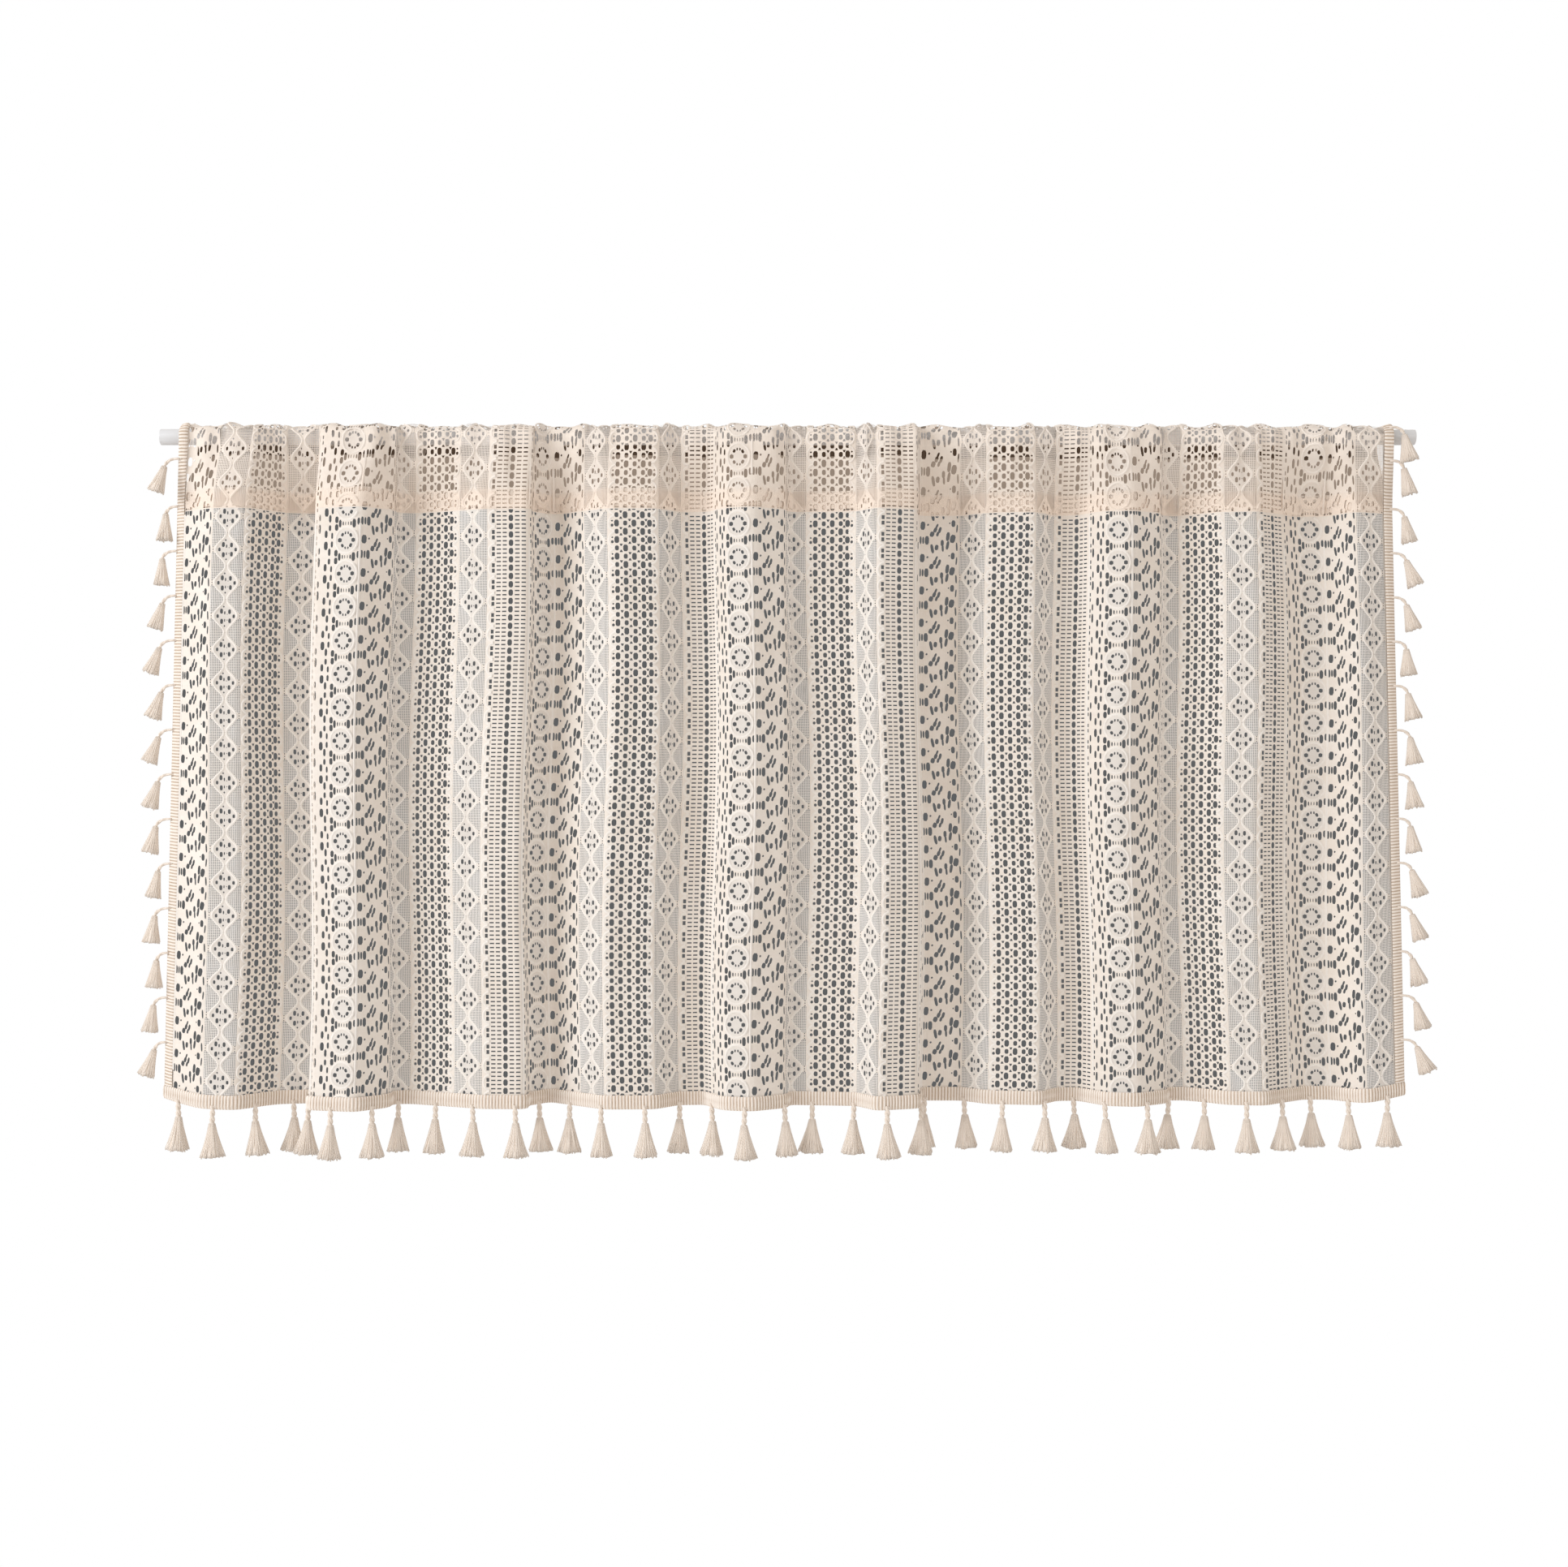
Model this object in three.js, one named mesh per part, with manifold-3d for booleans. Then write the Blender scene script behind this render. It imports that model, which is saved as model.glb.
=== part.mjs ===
import * as THREE from "three";
import { mergeVertices } from "three/addons/utils/BufferGeometryUtils.js";
import Module from "manifold-3d";

// Lace cafe curtain gathered on a plain rod, edged with braid and tassels.
// Millimetres, +Z up. The origin is the middle of the rod's axis and the front faces -Y.

const wasm = await Module();
wasm.setup();

// Rod
const ROD_LENGTH = 1028;
const ROD_RADIUS = 6.5;
const ROD_EDGE = 0.8;
const ROD_SIDES = 24;

// Cloth: one length of lace, turned over the rod and sewn down behind as a deep pocket
const CLOTH_THICKNESS = 1.2;
const HANG_LENGTH = 485;
const POCKET_DEPTH = 61;
const OVER_ROD = 40;
const SEAM_HEIGHT = 6;
const SEAM_GAP = 2.2;
const SEAM_INSET = 0.5;
const ROD_CLEARANCE = 0.4;
const POCKET_FRONT = 11.5;
const POCKET_FOLD = 0.32;
const RUFFLE_HEIGHT = 5;
const RUFFLE_PITCH = 43;
const END_LIFT = 6;
const END_LIFT_REACH = 70;

// Folds from the left edge. Each face of a fold is [flat width of cloth, slant in degrees],
// and a positive slant comes forward to the right. open is the slant that is left at the hem.
const FOLD_FACES = ["floor", "rise", "front", "fall", "wall"];
const FOLDS = [
  { floor: [0, 0], rise: [42, 36], front: [28, 4], fall: [40, -54], wall: [0, 0], open: 0.9 },
  { floor: [28, -12], rise: [34, 90], front: [40, 14], fall: [33, -48], wall: [14, -94], open: 0.98 },
  { floor: [14, -8], rise: [68, 24], front: [34, 2], fall: [0, 0], wall: [17, -96], open: 0.97 },
  { floor: [23, -52], rise: [61, 41], front: [40, -2], fall: [28, -52], wall: [0, 0], open: 0.96 },
  { floor: [20, -2], rise: [31, 62], front: [23, 16], fall: [33, -34], wall: [14, -88], open: 0.97 },
  { floor: [54, 6], rise: [28, 56], front: [34, -18], fall: [0, 0], wall: [40, -88], open: 0.99 },
  { floor: [33, 0], rise: [28, 43], front: [40, 8], fall: [28, -53], wall: [0, 0], open: 0.97 },
  { floor: [17, -2], rise: [34, 57], front: [23, 12], fall: [33, -36], wall: [14, -84], open: 0.96 },
  { floor: [14, -4], rise: [40, 40], front: [28, 8], fall: [51, -42], wall: [0, 0], open: 0.94 },
  { floor: [23, 2], rise: [33, 60], front: [37, -24], fall: [0, 0], wall: [0, 0], open: 0.86 },
];
const FOLD_ROUND = 12;
const SECTION_STEP = 0.5;
const GENTLE_TURN = 30;
const SHARP_TURN = 95;
const COLUMN_OFFSET = 4;

// Braid sewn on the front of the two sides and the hem, and the tassels that hang from it
const BRAID_WIDTH = 9;
const HEM_BRAID_HEIGHT = 11;
const HEM_BRAID_DROP = 2;
const BRAID_THICKNESS = 1.5;
const PIECE_GAP = 0.3;
const HEM_TASSELS = 37;
const SIDE_TASSELS = 14;
const SIDE_TASSEL_FIRST = 20;
const SIDE_TASSEL_PITCH = 37;
const SIDE_CORD_REACH = 11;
const SIDE_CORD_FALL = 11;
const TASSEL_LENGTH = 27;
const TASSEL_RADIUS = 8.5;
const TASSEL_NECK = 2.8;
const TASSEL_HEAD = 6;
const TASSEL_SIDES = 5;
const CORD_RADIUS = 0.8;
const CORD_LENGTH = 11;
const CORD_ROOT = 4;

const faces = FOLDS.flatMap((fold) =>
  FOLD_FACES.map((face) => ({ cloth: fold[face][0], slant: fold[face][1], open: fold.open })),
).filter((face) => face.cloth > 0);
const FLAT_WIDTH = faces.reduce((sum, face) => sum + face.cloth, 0);

function faceEnds() {
  let end = 0;
  return faces.map((face) => {
    end += face.cloth;
    return end;
  });
}
const ends = faceEnds();

// Slant of the cloth at a flat position, averaged over a short length so that each turn is round
function slantAt(flat, atHem) {
  const low = flat - FOLD_ROUND / 2;
  const high = flat + FOLD_ROUND / 2;
  let start = -FOLD_ROUND;
  let sum = 0;
  faces.forEach((face, i) => {
    const end = i === faces.length - 1 ? FLAT_WIDTH + FOLD_ROUND : ends[i];
    const shared = Math.max(0, Math.min(high, end) - Math.max(low, start));
    sum += shared * face.slant * (atHem ? face.open : 1);
    start = end;
  });
  return THREE.MathUtils.degToRad(sum / FOLD_ROUND);
}

// Plan of the folds at one level: x along the rod and forward towards the viewer, by flat position
function foldSection(atHem) {
  const count = Math.round(FLAT_WIDTH / SECTION_STEP);
  const points = [{ x: 0, forward: 0 }];
  for (let i = 0; i < count; i += 1) {
    const slant = slantAt((i + 0.5) * SECTION_STEP, atHem);
    const last = points[i];
    points.push({
      x: last.x + Math.cos(slant) * SECTION_STEP,
      forward: last.forward + Math.sin(slant) * SECTION_STEP,
    });
  }
  const deepest = Math.min(...points.map((point) => point.forward));
  const nearest = Math.max(...points.map((point) => point.forward));
  const middle = (deepest + nearest) / 2;
  const halfWidth = points[count].x / 2;
  points.forEach((point) => {
    point.x -= halfWidth;
    point.forward -= middle;
  });
  return { points, depth: (nearest - deepest) / 2 };
}
const hemSection = foldSection(true);
const seamSection = foldSection(false);

function sectionPoint(section, flat) {
  const place = THREE.MathUtils.clamp(flat / SECTION_STEP, 0, section.points.length - 1.001);
  const i = Math.floor(place);
  const a = section.points[i];
  const b = section.points[i + 1];
  const t = place - i;
  return {
    x: THREE.MathUtils.lerp(a.x, b.x, t),
    forward: THREE.MathUtils.lerp(a.forward, b.forward, t),
  };
}

// The two lower corners of the cloth are drawn up a little by the side braids
function endLift(flat) {
  const fromEnd = Math.min(flat, FLAT_WIDTH - flat);
  const near = Math.max(0, 1 - fromEnd / END_LIFT_REACH);
  return END_LIFT * near * near;
}

// Middle surface of the cloth. flat runs along the width from the left edge and
// drop runs up from the hem, over the rod and down the back to the seam.
const SEAM_LEVEL = -POCKET_DEPTH;
const FRONT_TOP = HANG_LENGTH + POCKET_DEPTH;
const BACK_TOP = FRONT_TOP + OVER_ROD;
const FLAT_LENGTH = BACK_TOP + POCKET_DEPTH;

function clothPoint(flat, drop) {
  const seam = sectionPoint(seamSection, flat);
  if (drop <= HANG_LENGTH) {
    const hem = sectionPoint(hemSection, flat);
    const t = drop / HANG_LENGTH;
    const z = SEAM_LEVEL - HANG_LENGTH + drop + endLift(flat) * (1 - t);
    return new THREE.Vector3(
      THREE.MathUtils.lerp(hem.x, seam.x, t),
      -THREE.MathUtils.lerp(hem.forward, seam.forward, t),
      z,
    );
  }
  const slant = slantAt(flat, false);
  const frontTop = POCKET_FRONT + POCKET_FOLD * (seam.forward + seamSection.depth);
  const backTop = -POCKET_FRONT - POCKET_FOLD * (seamSection.depth - seam.forward);
  const behind = { x: seam.x + SEAM_GAP * Math.sin(slant), forward: -SEAM_GAP * Math.cos(slant) };
  if (drop <= FRONT_TOP) {
    const z = SEAM_LEVEL + drop - HANG_LENGTH;
    const t = THREE.MathUtils.smoothstep(z, SEAM_LEVEL, 0);
    return new THREE.Vector3(seam.x, -THREE.MathUtils.lerp(seam.forward, frontTop, t), z);
  }
  if (drop >= BACK_TOP) {
    const z = BACK_TOP - drop;
    const t = THREE.MathUtils.smoothstep(z, SEAM_LEVEL, 0);
    const forward = THREE.MathUtils.lerp(seam.forward, backTop, t) + behind.forward;
    return new THREE.Vector3(behind.x, -forward, z);
  }
  const over = (drop - FRONT_TOP) / OVER_ROD;
  const angle = over * Math.PI;
  const wave = 0.5 + 0.5 * Math.sin((2 * Math.PI * flat) / RUFFLE_PITCH);
  const top = ROD_RADIUS + ROD_CLEARANCE + CLOTH_THICKNESS / 2 + RUFFLE_HEIGHT * wave * wave;
  const reach = angle < Math.PI / 2 ? frontTop : -(backTop + behind.forward);
  return new THREE.Vector3(
    THREE.MathUtils.lerp(seam.x, behind.x, over),
    -reach * Math.cos(angle),
    top * Math.sin(angle),
  );
}

function clothNormal(flat, drop) {
  const small = 0.5;
  const left = clothPoint(Math.max(0, flat - small), drop);
  const right = clothPoint(Math.min(FLAT_WIDTH, flat + small), drop);
  const below = clothPoint(flat, Math.max(0, drop - small));
  const above = clothPoint(flat, Math.min(FLAT_LENGTH, drop + small));
  return right.sub(left).cross(above.sub(below)).normalize();
}

function closedGeometry(positions, triangles) {
  const geometry = new THREE.BufferGeometry();
  geometry.setAttribute("position", new THREE.Float32BufferAttribute(positions, 3));
  geometry.setIndex(triangles);
  return geometry;
}

// Closed solid between two grids of points that share their rows and columns
function gridSolid(outer, inner, rows, columns) {
  const positions = [...outer, ...inner].flatMap((point) => point.toArray());
  const side = rows * columns;
  const at = (layer, row, column) => layer * side + row * columns + column;
  const triangles = [];
  const quad = (a, b, c, d) => triangles.push(a, b, c, a, c, d);
  for (let r = 0; r + 1 < rows; r += 1) {
    for (let c = 0; c + 1 < columns; c += 1) {
      quad(at(0, r, c), at(0, r, c + 1), at(0, r + 1, c + 1), at(0, r + 1, c));
      quad(at(1, r, c), at(1, r + 1, c), at(1, r + 1, c + 1), at(1, r, c + 1));
    }
    quad(at(0, r, 0), at(0, r + 1, 0), at(1, r + 1, 0), at(1, r, 0));
    quad(at(0, r + 1, columns - 1), at(0, r, columns - 1), at(1, r, columns - 1), at(1, r + 1, columns - 1));
  }
  for (let c = 0; c + 1 < columns; c += 1) {
    quad(at(0, 0, c + 1), at(0, 0, c), at(1, 0, c), at(1, 0, c + 1));
    quad(at(0, rows - 1, c), at(0, rows - 1, c + 1), at(1, rows - 1, c + 1), at(1, rows - 1, c));
  }
  return closedGeometry(positions, triangles);
}

// Sheet on the cloth's surface between two distances out from its middle
function sheet(flats, drops, outerOffset, innerOffset, lower = 0) {
  const grid = (offset) =>
    drops.flatMap((drop, row) =>
      flats.map((flat) => {
        const point = clothPoint(flat, drop).addScaledVector(clothNormal(flat, drop), offset);
        point.z -= row === 0 ? lower : 0;
        return point;
      }),
    );
  return gridSolid(grid(outerOffset), grid(innerOffset), drops.length, flats.length);
}

function toSolid(geometry) {
  const bare = geometry.clone();
  bare.deleteAttribute("normal");
  bare.deleteAttribute("uv");
  const merged = mergeVertices(bare, 1e-4);
  return new wasm.Manifold(
    new wasm.Mesh({
      numProp: 3,
      vertProperties: new Float32Array(merged.attributes.position.array),
      triVerts: new Uint32Array(merged.index.array),
    }),
  );
}

function toGeometry(solid) {
  const mesh = solid.getMesh();
  return closedGeometry(Array.from(mesh.vertProperties), Array.from(mesh.triVerts));
}

function joined(geometries) {
  const solids = geometries.map(toSolid);
  return toGeometry(solids.reduce((sum, solid) => sum.add(solid)));
}

// Columns of the cloth: one at a gentle turn, two about a firmer one and three about a sharp one
function clothColumns() {
  const columns = [0, BRAID_WIDTH];
  for (let i = 0; i + 1 < faces.length; i += 1) {
    const turn = Math.abs(faces[i + 1].slant - faces[i].slant);
    if (turn > GENTLE_TURN) {
      columns.push(ends[i] - COLUMN_OFFSET);
    }
    if (turn <= GENTLE_TURN || turn > SHARP_TURN) {
      columns.push(ends[i]);
    }
    if (turn > GENTLE_TURN) {
      columns.push(ends[i] + COLUMN_OFFSET);
    }
  }
  columns.push(FLAT_WIDTH - BRAID_WIDTH, FLAT_WIDTH);
  return columns;
}
const columns = clothColumns();

const OVER_ROWS = 4;
const BRAID_OVER_ROWS = 1;
const overRows = Array.from({ length: OVER_ROWS + 1 }, (_, i) => FRONT_TOP + (OVER_ROD * i) / OVER_ROWS);
const frontRows = [0, HANG_LENGTH, HANG_LENGTH + SEAM_HEIGHT];
const clothRows = [...frontRows, ...overRows, FLAT_LENGTH - SEAM_HEIGHT, FLAT_LENGTH];

// The sewn turning that closes the pocket fills the space between its two layers
function pocketSeam() {
  const flats = columns.slice();
  flats[0] += SEAM_INSET;
  flats[flats.length - 1] -= SEAM_INSET;
  const rises = [SEAM_INSET, SEAM_HEIGHT];
  const front = rises.flatMap((rise) => flats.map((flat) => clothPoint(flat, HANG_LENGTH + rise)));
  const back = rises.flatMap((rise) => flats.map((flat) => clothPoint(flat, FLAT_LENGTH - rise)));
  return gridSolid(front, back, rises.length, flats.length);
}

function laceCloth() {
  const half = CLOTH_THICKNESS / 2;
  return joined([sheet(columns, clothRows, half, -half), pocketSeam()]);
}

function rodGeometry() {
  const half = ROD_LENGTH / 2;
  const profile = [
    new THREE.Vector2(0, -half),
    new THREE.Vector2(ROD_RADIUS - ROD_EDGE, -half),
    new THREE.Vector2(ROD_RADIUS, -half + ROD_EDGE),
    new THREE.Vector2(ROD_RADIUS, half - ROD_EDGE),
    new THREE.Vector2(ROD_RADIUS - ROD_EDGE, half),
    new THREE.Vector2(0, half),
  ];
  return new THREE.LatheGeometry(profile, ROD_SIDES).rotateZ(-Math.PI / 2);
}

// Tassel with the top of its upright cord at the origin, or of its head where the cord is slanted
function tassel(cordLength) {
  const top = -cordLength;
  const foot = top - TASSEL_LENGTH;
  const skirt = [
    new THREE.Vector2(0, foot),
    new THREE.Vector2(TASSEL_RADIUS, foot),
    new THREE.Vector2(TASSEL_NECK, top - TASSEL_HEAD),
    new THREE.Vector2(CORD_RADIUS, top),
  ];
  const cord = cordLength > 0 ? [new THREE.Vector2(CORD_RADIUS, 0)] : [];
  const profile = [...skirt, ...cord, new THREE.Vector2(0, 0)];
  return new THREE.LatheGeometry(profile, TASSEL_SIDES).rotateX(Math.PI / 2);
}

const BRAID_INNER = CLOTH_THICKNESS / 2 + PIECE_GAP;
const BRAID_OUTER = BRAID_INNER + BRAID_THICKNESS;
const BRAID_MIDDLE = (BRAID_INNER + BRAID_OUTER) / 2;

function span(stops, value) {
  const next = stops.findIndex((stop) => stop > value);
  const [low, high] = [stops[next - 1], stops[next]];
  return { low, high, share: (value - low) / (high - low) };
}

// Middle of the braid, on the flat facet between two columns and two rows of the cloth
function braidPoint(flat, drop) {
  const across = span(columns, flat);
  const up = span(clothRows, drop);
  const corner = (column, row) =>
    clothPoint(column, row).addScaledVector(clothNormal(column, row), BRAID_MIDDLE);
  const start = corner(across.low, up.low);
  const far = corner(across.high, up.high);
  const rightHalf = across.share > up.share;
  const turn = rightHalf ? corner(across.high, up.low) : corner(across.low, up.high);
  const [first, second] = rightHalf ? [across.share, up.share] : [up.share, across.share];
  return start.lerp(turn, first).addScaledVector(far.sub(turn), second);
}

function hemFringe() {
  const braid = sheet(columns, [0, HEM_BRAID_HEIGHT], BRAID_OUTER, BRAID_INNER, HEM_BRAID_DROP);
  const pitch = FLAT_WIDTH / HEM_TASSELS;
  const tassels = Array.from({ length: HEM_TASSELS }, (_, i) => {
    const root = braidPoint((i + 0.5) * pitch, 0);
    root.z += CORD_ROOT - HEM_BRAID_DROP;
    return tassel(CORD_LENGTH + CORD_ROOT).translate(root.x, root.y, root.z);
  });
  return joined([braid, ...tassels]);
}

// Short cord that slants out of the side braid and down into the head of its tassel
function sideCord(root, head) {
  const section = new THREE.Shape([
    new THREE.Vector2(CORD_RADIUS, 0),
    new THREE.Vector2(0, CORD_RADIUS),
    new THREE.Vector2(-CORD_RADIUS, 0),
    new THREE.Vector2(0, -CORD_RADIUS),
  ]);
  return new THREE.ExtrudeGeometry(section, { steps: 1, extrudePath: new THREE.LineCurve3(root, head) });
}

function sideFringe(outward) {
  const edge = outward < 0 ? 0 : FLAT_WIDTH;
  const flats = outward < 0 ? [0, BRAID_WIDTH] : [FLAT_WIDTH - BRAID_WIDTH, FLAT_WIDTH];
  const topRow = frontRows.length + BRAID_OVER_ROWS + 1;
  const drops = [HEM_BRAID_HEIGHT + PIECE_GAP, ...clothRows.slice(1, topRow)];
  const braid = sheet(flats, drops, BRAID_OUTER, BRAID_INNER);
  const pieces = [braid];
  for (let i = 0; i < SIDE_TASSELS; i += 1) {
    const drop = FRONT_TOP - SIDE_TASSEL_FIRST - i * SIDE_TASSEL_PITCH;
    const flat = edge - outward * CORD_ROOT;
    const root = braidPoint(flat, drop);
    const head = root.clone();
    head.x += outward * (SIDE_CORD_REACH + CORD_ROOT);
    head.z -= SIDE_CORD_FALL;
    pieces.push(sideCord(root, head));
    pieces.push(tassel(0).translate(head.x, head.y, head.z + CORD_ROOT));
  }
  return joined(pieces);
}

const laceColor = { color: 0xf1e4d3, roughness: 0.9, metalness: 0 };
const trimColor = { color: 0xeaddcb, roughness: 0.85, metalness: 0 };
const rodColor = { color: 0xf4f5f6, roughness: 0.35, metalness: 0 };

function addPiece(group, name, geometry, look) {
  const mesh = new THREE.Mesh(geometry, new THREE.MeshStandardMaterial(look));
  mesh.name = name;
  group.add(mesh);
}

const curtain = new THREE.Group();
addPiece(curtain, "rod", rodGeometry(), rodColor);
addPiece(curtain, "lace_cloth", laceCloth(), laceColor);
addPiece(curtain, "hem_fringe", hemFringe(), trimColor);
addPiece(curtain, "left_fringe", sideFringe(-1), trimColor);
addPiece(curtain, "right_fringe", sideFringe(1), trimColor);

export default curtain;
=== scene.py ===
"""Lace cafe curtain gathered on a plain rod, edged with braid and tassels."""

import math
from collections import namedtuple

import bpy
import numpy as np
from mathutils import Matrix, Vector
from mathutils.geometry import delaunay_2d_cdt


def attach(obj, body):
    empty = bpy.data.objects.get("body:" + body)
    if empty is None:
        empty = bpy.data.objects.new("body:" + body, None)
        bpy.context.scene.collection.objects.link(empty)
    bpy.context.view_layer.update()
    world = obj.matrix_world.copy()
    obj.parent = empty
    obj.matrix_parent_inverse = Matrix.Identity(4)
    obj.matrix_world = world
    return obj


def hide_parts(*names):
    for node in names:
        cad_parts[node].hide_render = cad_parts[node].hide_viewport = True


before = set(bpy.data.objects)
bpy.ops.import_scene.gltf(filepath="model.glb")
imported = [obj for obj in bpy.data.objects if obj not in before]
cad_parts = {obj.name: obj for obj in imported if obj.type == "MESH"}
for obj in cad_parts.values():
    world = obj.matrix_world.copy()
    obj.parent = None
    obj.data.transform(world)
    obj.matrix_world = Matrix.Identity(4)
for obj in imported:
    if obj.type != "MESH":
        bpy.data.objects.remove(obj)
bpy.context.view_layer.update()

bl_info = {
    "name": "Lace Cafe Curtain",
    "version": (1, 0, 0),
    "blender": (4, 5, 0),
    "location": "View3D > Sidebar > Curtain",
    "description": "Builds a gathered lace cafe curtain with tassel fringes on a rod",
    "category": "Add Mesh",
}

MM = 0.001

# Sizes of the cloth in millimetres. flat runs from the left edge along the cut width. drop runs up
# from the hem, over the rod, down the back of the pocket and into the turning at the seam.
CLOTH_THICKNESS = 1.2
HANG_LENGTH = 485.0
POCKET_DEPTH = 61.0
OVER_ROD = 40.0
TURNING = 16.0
SEAM_GAP = 2.2
TURNING_GAP = 0.42
ROD_RADIUS = 6.5
ROD_CLEARANCE = 0.4
POCKET_FRONT = 11.5
POCKET_FOLD = 0.32
RUFFLE_HEIGHT = 3.2
RUFFLE_PITCH = 43.0
END_LIFT = 6.0
END_LIFT_REACH = 70.0
FOLD_ROUND = 12.0
SECTION_STEP = 0.25
FRONT_TOP = HANG_LENGTH + POCKET_DEPTH
BACK_TOP = FRONT_TOP + OVER_ROD
BACK_SEAM = BACK_TOP + POCKET_DEPTH
CUT_LENGTH = BACK_SEAM + TURNING

# Faces of each fold from the left edge: [flat width, slant in degrees]. open is the slant left at the hem.
FOLD_FACES = ("floor", "rise", "front", "fall", "wall")
FOLDS = (
    {"floor": (0, 0), "rise": (42, 36), "front": (28, 4), "fall": (40, -54), "wall": (0, 0), "open": 0.9},
    {"floor": (28, -12), "rise": (34, 90), "front": (40, 14),
     "fall": (33, -48), "wall": (14, -94), "open": 0.98},
    {"floor": (14, -8), "rise": (68, 24), "front": (34, 2), "fall": (0, 0), "wall": (17, -96), "open": 0.97},
    {"floor": (23, -52), "rise": (61, 41), "front": (40, -2),
     "fall": (28, -52), "wall": (0, 0), "open": 0.96},
    {"floor": (20, -2), "rise": (31, 62), "front": (23, 16),
     "fall": (33, -34), "wall": (14, -88), "open": 0.97},
    {"floor": (54, 6), "rise": (28, 56), "front": (34, -18), "fall": (0, 0), "wall": (40, -88), "open": 0.99},
    {"floor": (33, 0), "rise": (28, 43), "front": (40, 8), "fall": (28, -53), "wall": (0, 0), "open": 0.97},
    {"floor": (17, -2), "rise": (34, 57), "front": (23, 12),
     "fall": (33, -36), "wall": (14, -84), "open": 0.96},
    {"floor": (14, -4), "rise": (40, 40), "front": (28, 8), "fall": (51, -42), "wall": (0, 0), "open": 0.94},
    {"floor": (23, 2), "rise": (33, 60), "front": (37, -24), "fall": (0, 0), "wall": (0, 0), "open": 0.86},
)
FACES = [
    (fold[face][0], fold[face][1], fold["open"]) for fold in FOLDS for face in FOLD_FACES if fold[face][0]
]
FLAT_WIDTH = float(sum(face[0] for face in FACES))

# Soft creases of the hanging cloth: flat place at the foot, how far it leans by the top, its lower and
# upper ends, half its width and how far it stands forward.
Crease = namedtuple("Crease", "flat lean low high width depth")
CREASES = (
    Crease(34, 10, 60, 470, 9, 2.0),
    Crease(96, -14, 0, 300, 8, -2.2),
    Crease(158, 8, 120, 485, 7, 2.0),
    Crease(236, -10, 0, 260, 10, 2.4),
    Crease(330, 14, 150, 485, 9, -2.2),
    Crease(402, -12, 0, 330, 8, 2.0),
    Crease(478, 10, 90, 485, 10, 2.2),
    Crease(566, -8, 0, 280, 8, -2.0),
    Crease(640, 12, 180, 485, 9, 2.2),
    Crease(742, -14, 0, 360, 9, 2.4),
    Crease(838, 10, 120, 485, 8, -2.0),
    Crease(930, -10, 0, 300, 10, 2.2),
    Crease(1010, 8, 160, 485, 8, 2.0),
    Crease(1104, -12, 0, 340, 9, -2.2),
    Crease(1188, 12, 90, 485, 8, 2.0),
    Crease(1252, -8, 0, 300, 9, 2.0),
)
PUCKER_HEIGHT = 1.3
PUCKER_PITCH = 26.0
ROD_PINCH = 0.016
# Pleats of the pocket: flat place of each lip, how far it leans by the seam, and its height at the rod
Pleat = namedtuple("Pleat", "flat lean height")
PLEATS = (
    Pleat(74, -6, 2.4), Pleat(152, -4, 2.0), Pleat(226, 8, 2.6), Pleat(352, 6, 2.4), Pleat(398, -10, 2.2),
    Pleat(514, 4, 2.4), Pleat(566, -8, 2.0), Pleat(640, 6, 2.6), Pleat(734, -6, 2.2), Pleat(792, 6, 2.4),
    Pleat(906, -8, 2.4), Pleat(968, 4, 2.0), Pleat(1062, -4, 2.4), Pleat(1134, 8, 2.6), Pleat(1222, -6, 2.2),
)
PLEAT_RISE = 15.0
PLEAT_FALL = 3.6
SWAY = 3.5

# Lace: bands from the left edge, each with its flat width, and the height of one repeat
COURSE = HANG_LENGTH / 18
BAND_WIDTHS = {
    "leaf": 33.3,
    "first_diamond": 28.0,
    "honeycomb": 40.0,
    "second_diamond": 28.0,
    "ladder": 34.0,
    "petal": 17.0,
    "ring": 22.7,
}
SELVEDGE = 9.0
# How far each band's motifs sit below the seam in each repeat, in courses
SHIFTS = (
    {"leaf": 0.62, "first_diamond": 0.25, "second_diamond": 0.45, "ring": 0.0},
    {"leaf": 0.0, "first_diamond": 0.62, "second_diamond": 0.78, "ring": 0.39},
    {"leaf": 0.42, "first_diamond": 0.0, "second_diamond": 0.95, "ring": 0.5},
    {"leaf": 0.51, "first_diamond": 0.97, "second_diamond": 0.87, "ring": 0.49},
    {"leaf": 0.34, "first_diamond": 0.92, "second_diamond": 0.96, "ring": 0.58},
    {"leaf": 0.6, "first_diamond": 0.3, "second_diamond": 0.92, "ring": 0.4},
    {"leaf": 0.45, "first_diamond": 0.85},
)
SHIFT_LIKE = {"honeycomb": "second_diamond", "ladder": "second_diamond", "petal": "ring"}
HOLE_MARGIN = 0.4
SMALLEST_HOLE = 0.7
SEAM_MARGIN = 0.5
CHAIN_MEAN = 5.4
CHAIN_SWING = 4.4
NET_EDGE = 1.1
NET_START = 2.7
CORD_WIDTH = 1.9
CORD_HEIGHT = 0.85
LEAF_OPENING = 1.14
FILL_PITCH = 5.4
FILL_CLEARANCE = 0.9
WELD_STEPS = 200
THIN_EDGE = (0.78, 0.95)

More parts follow.
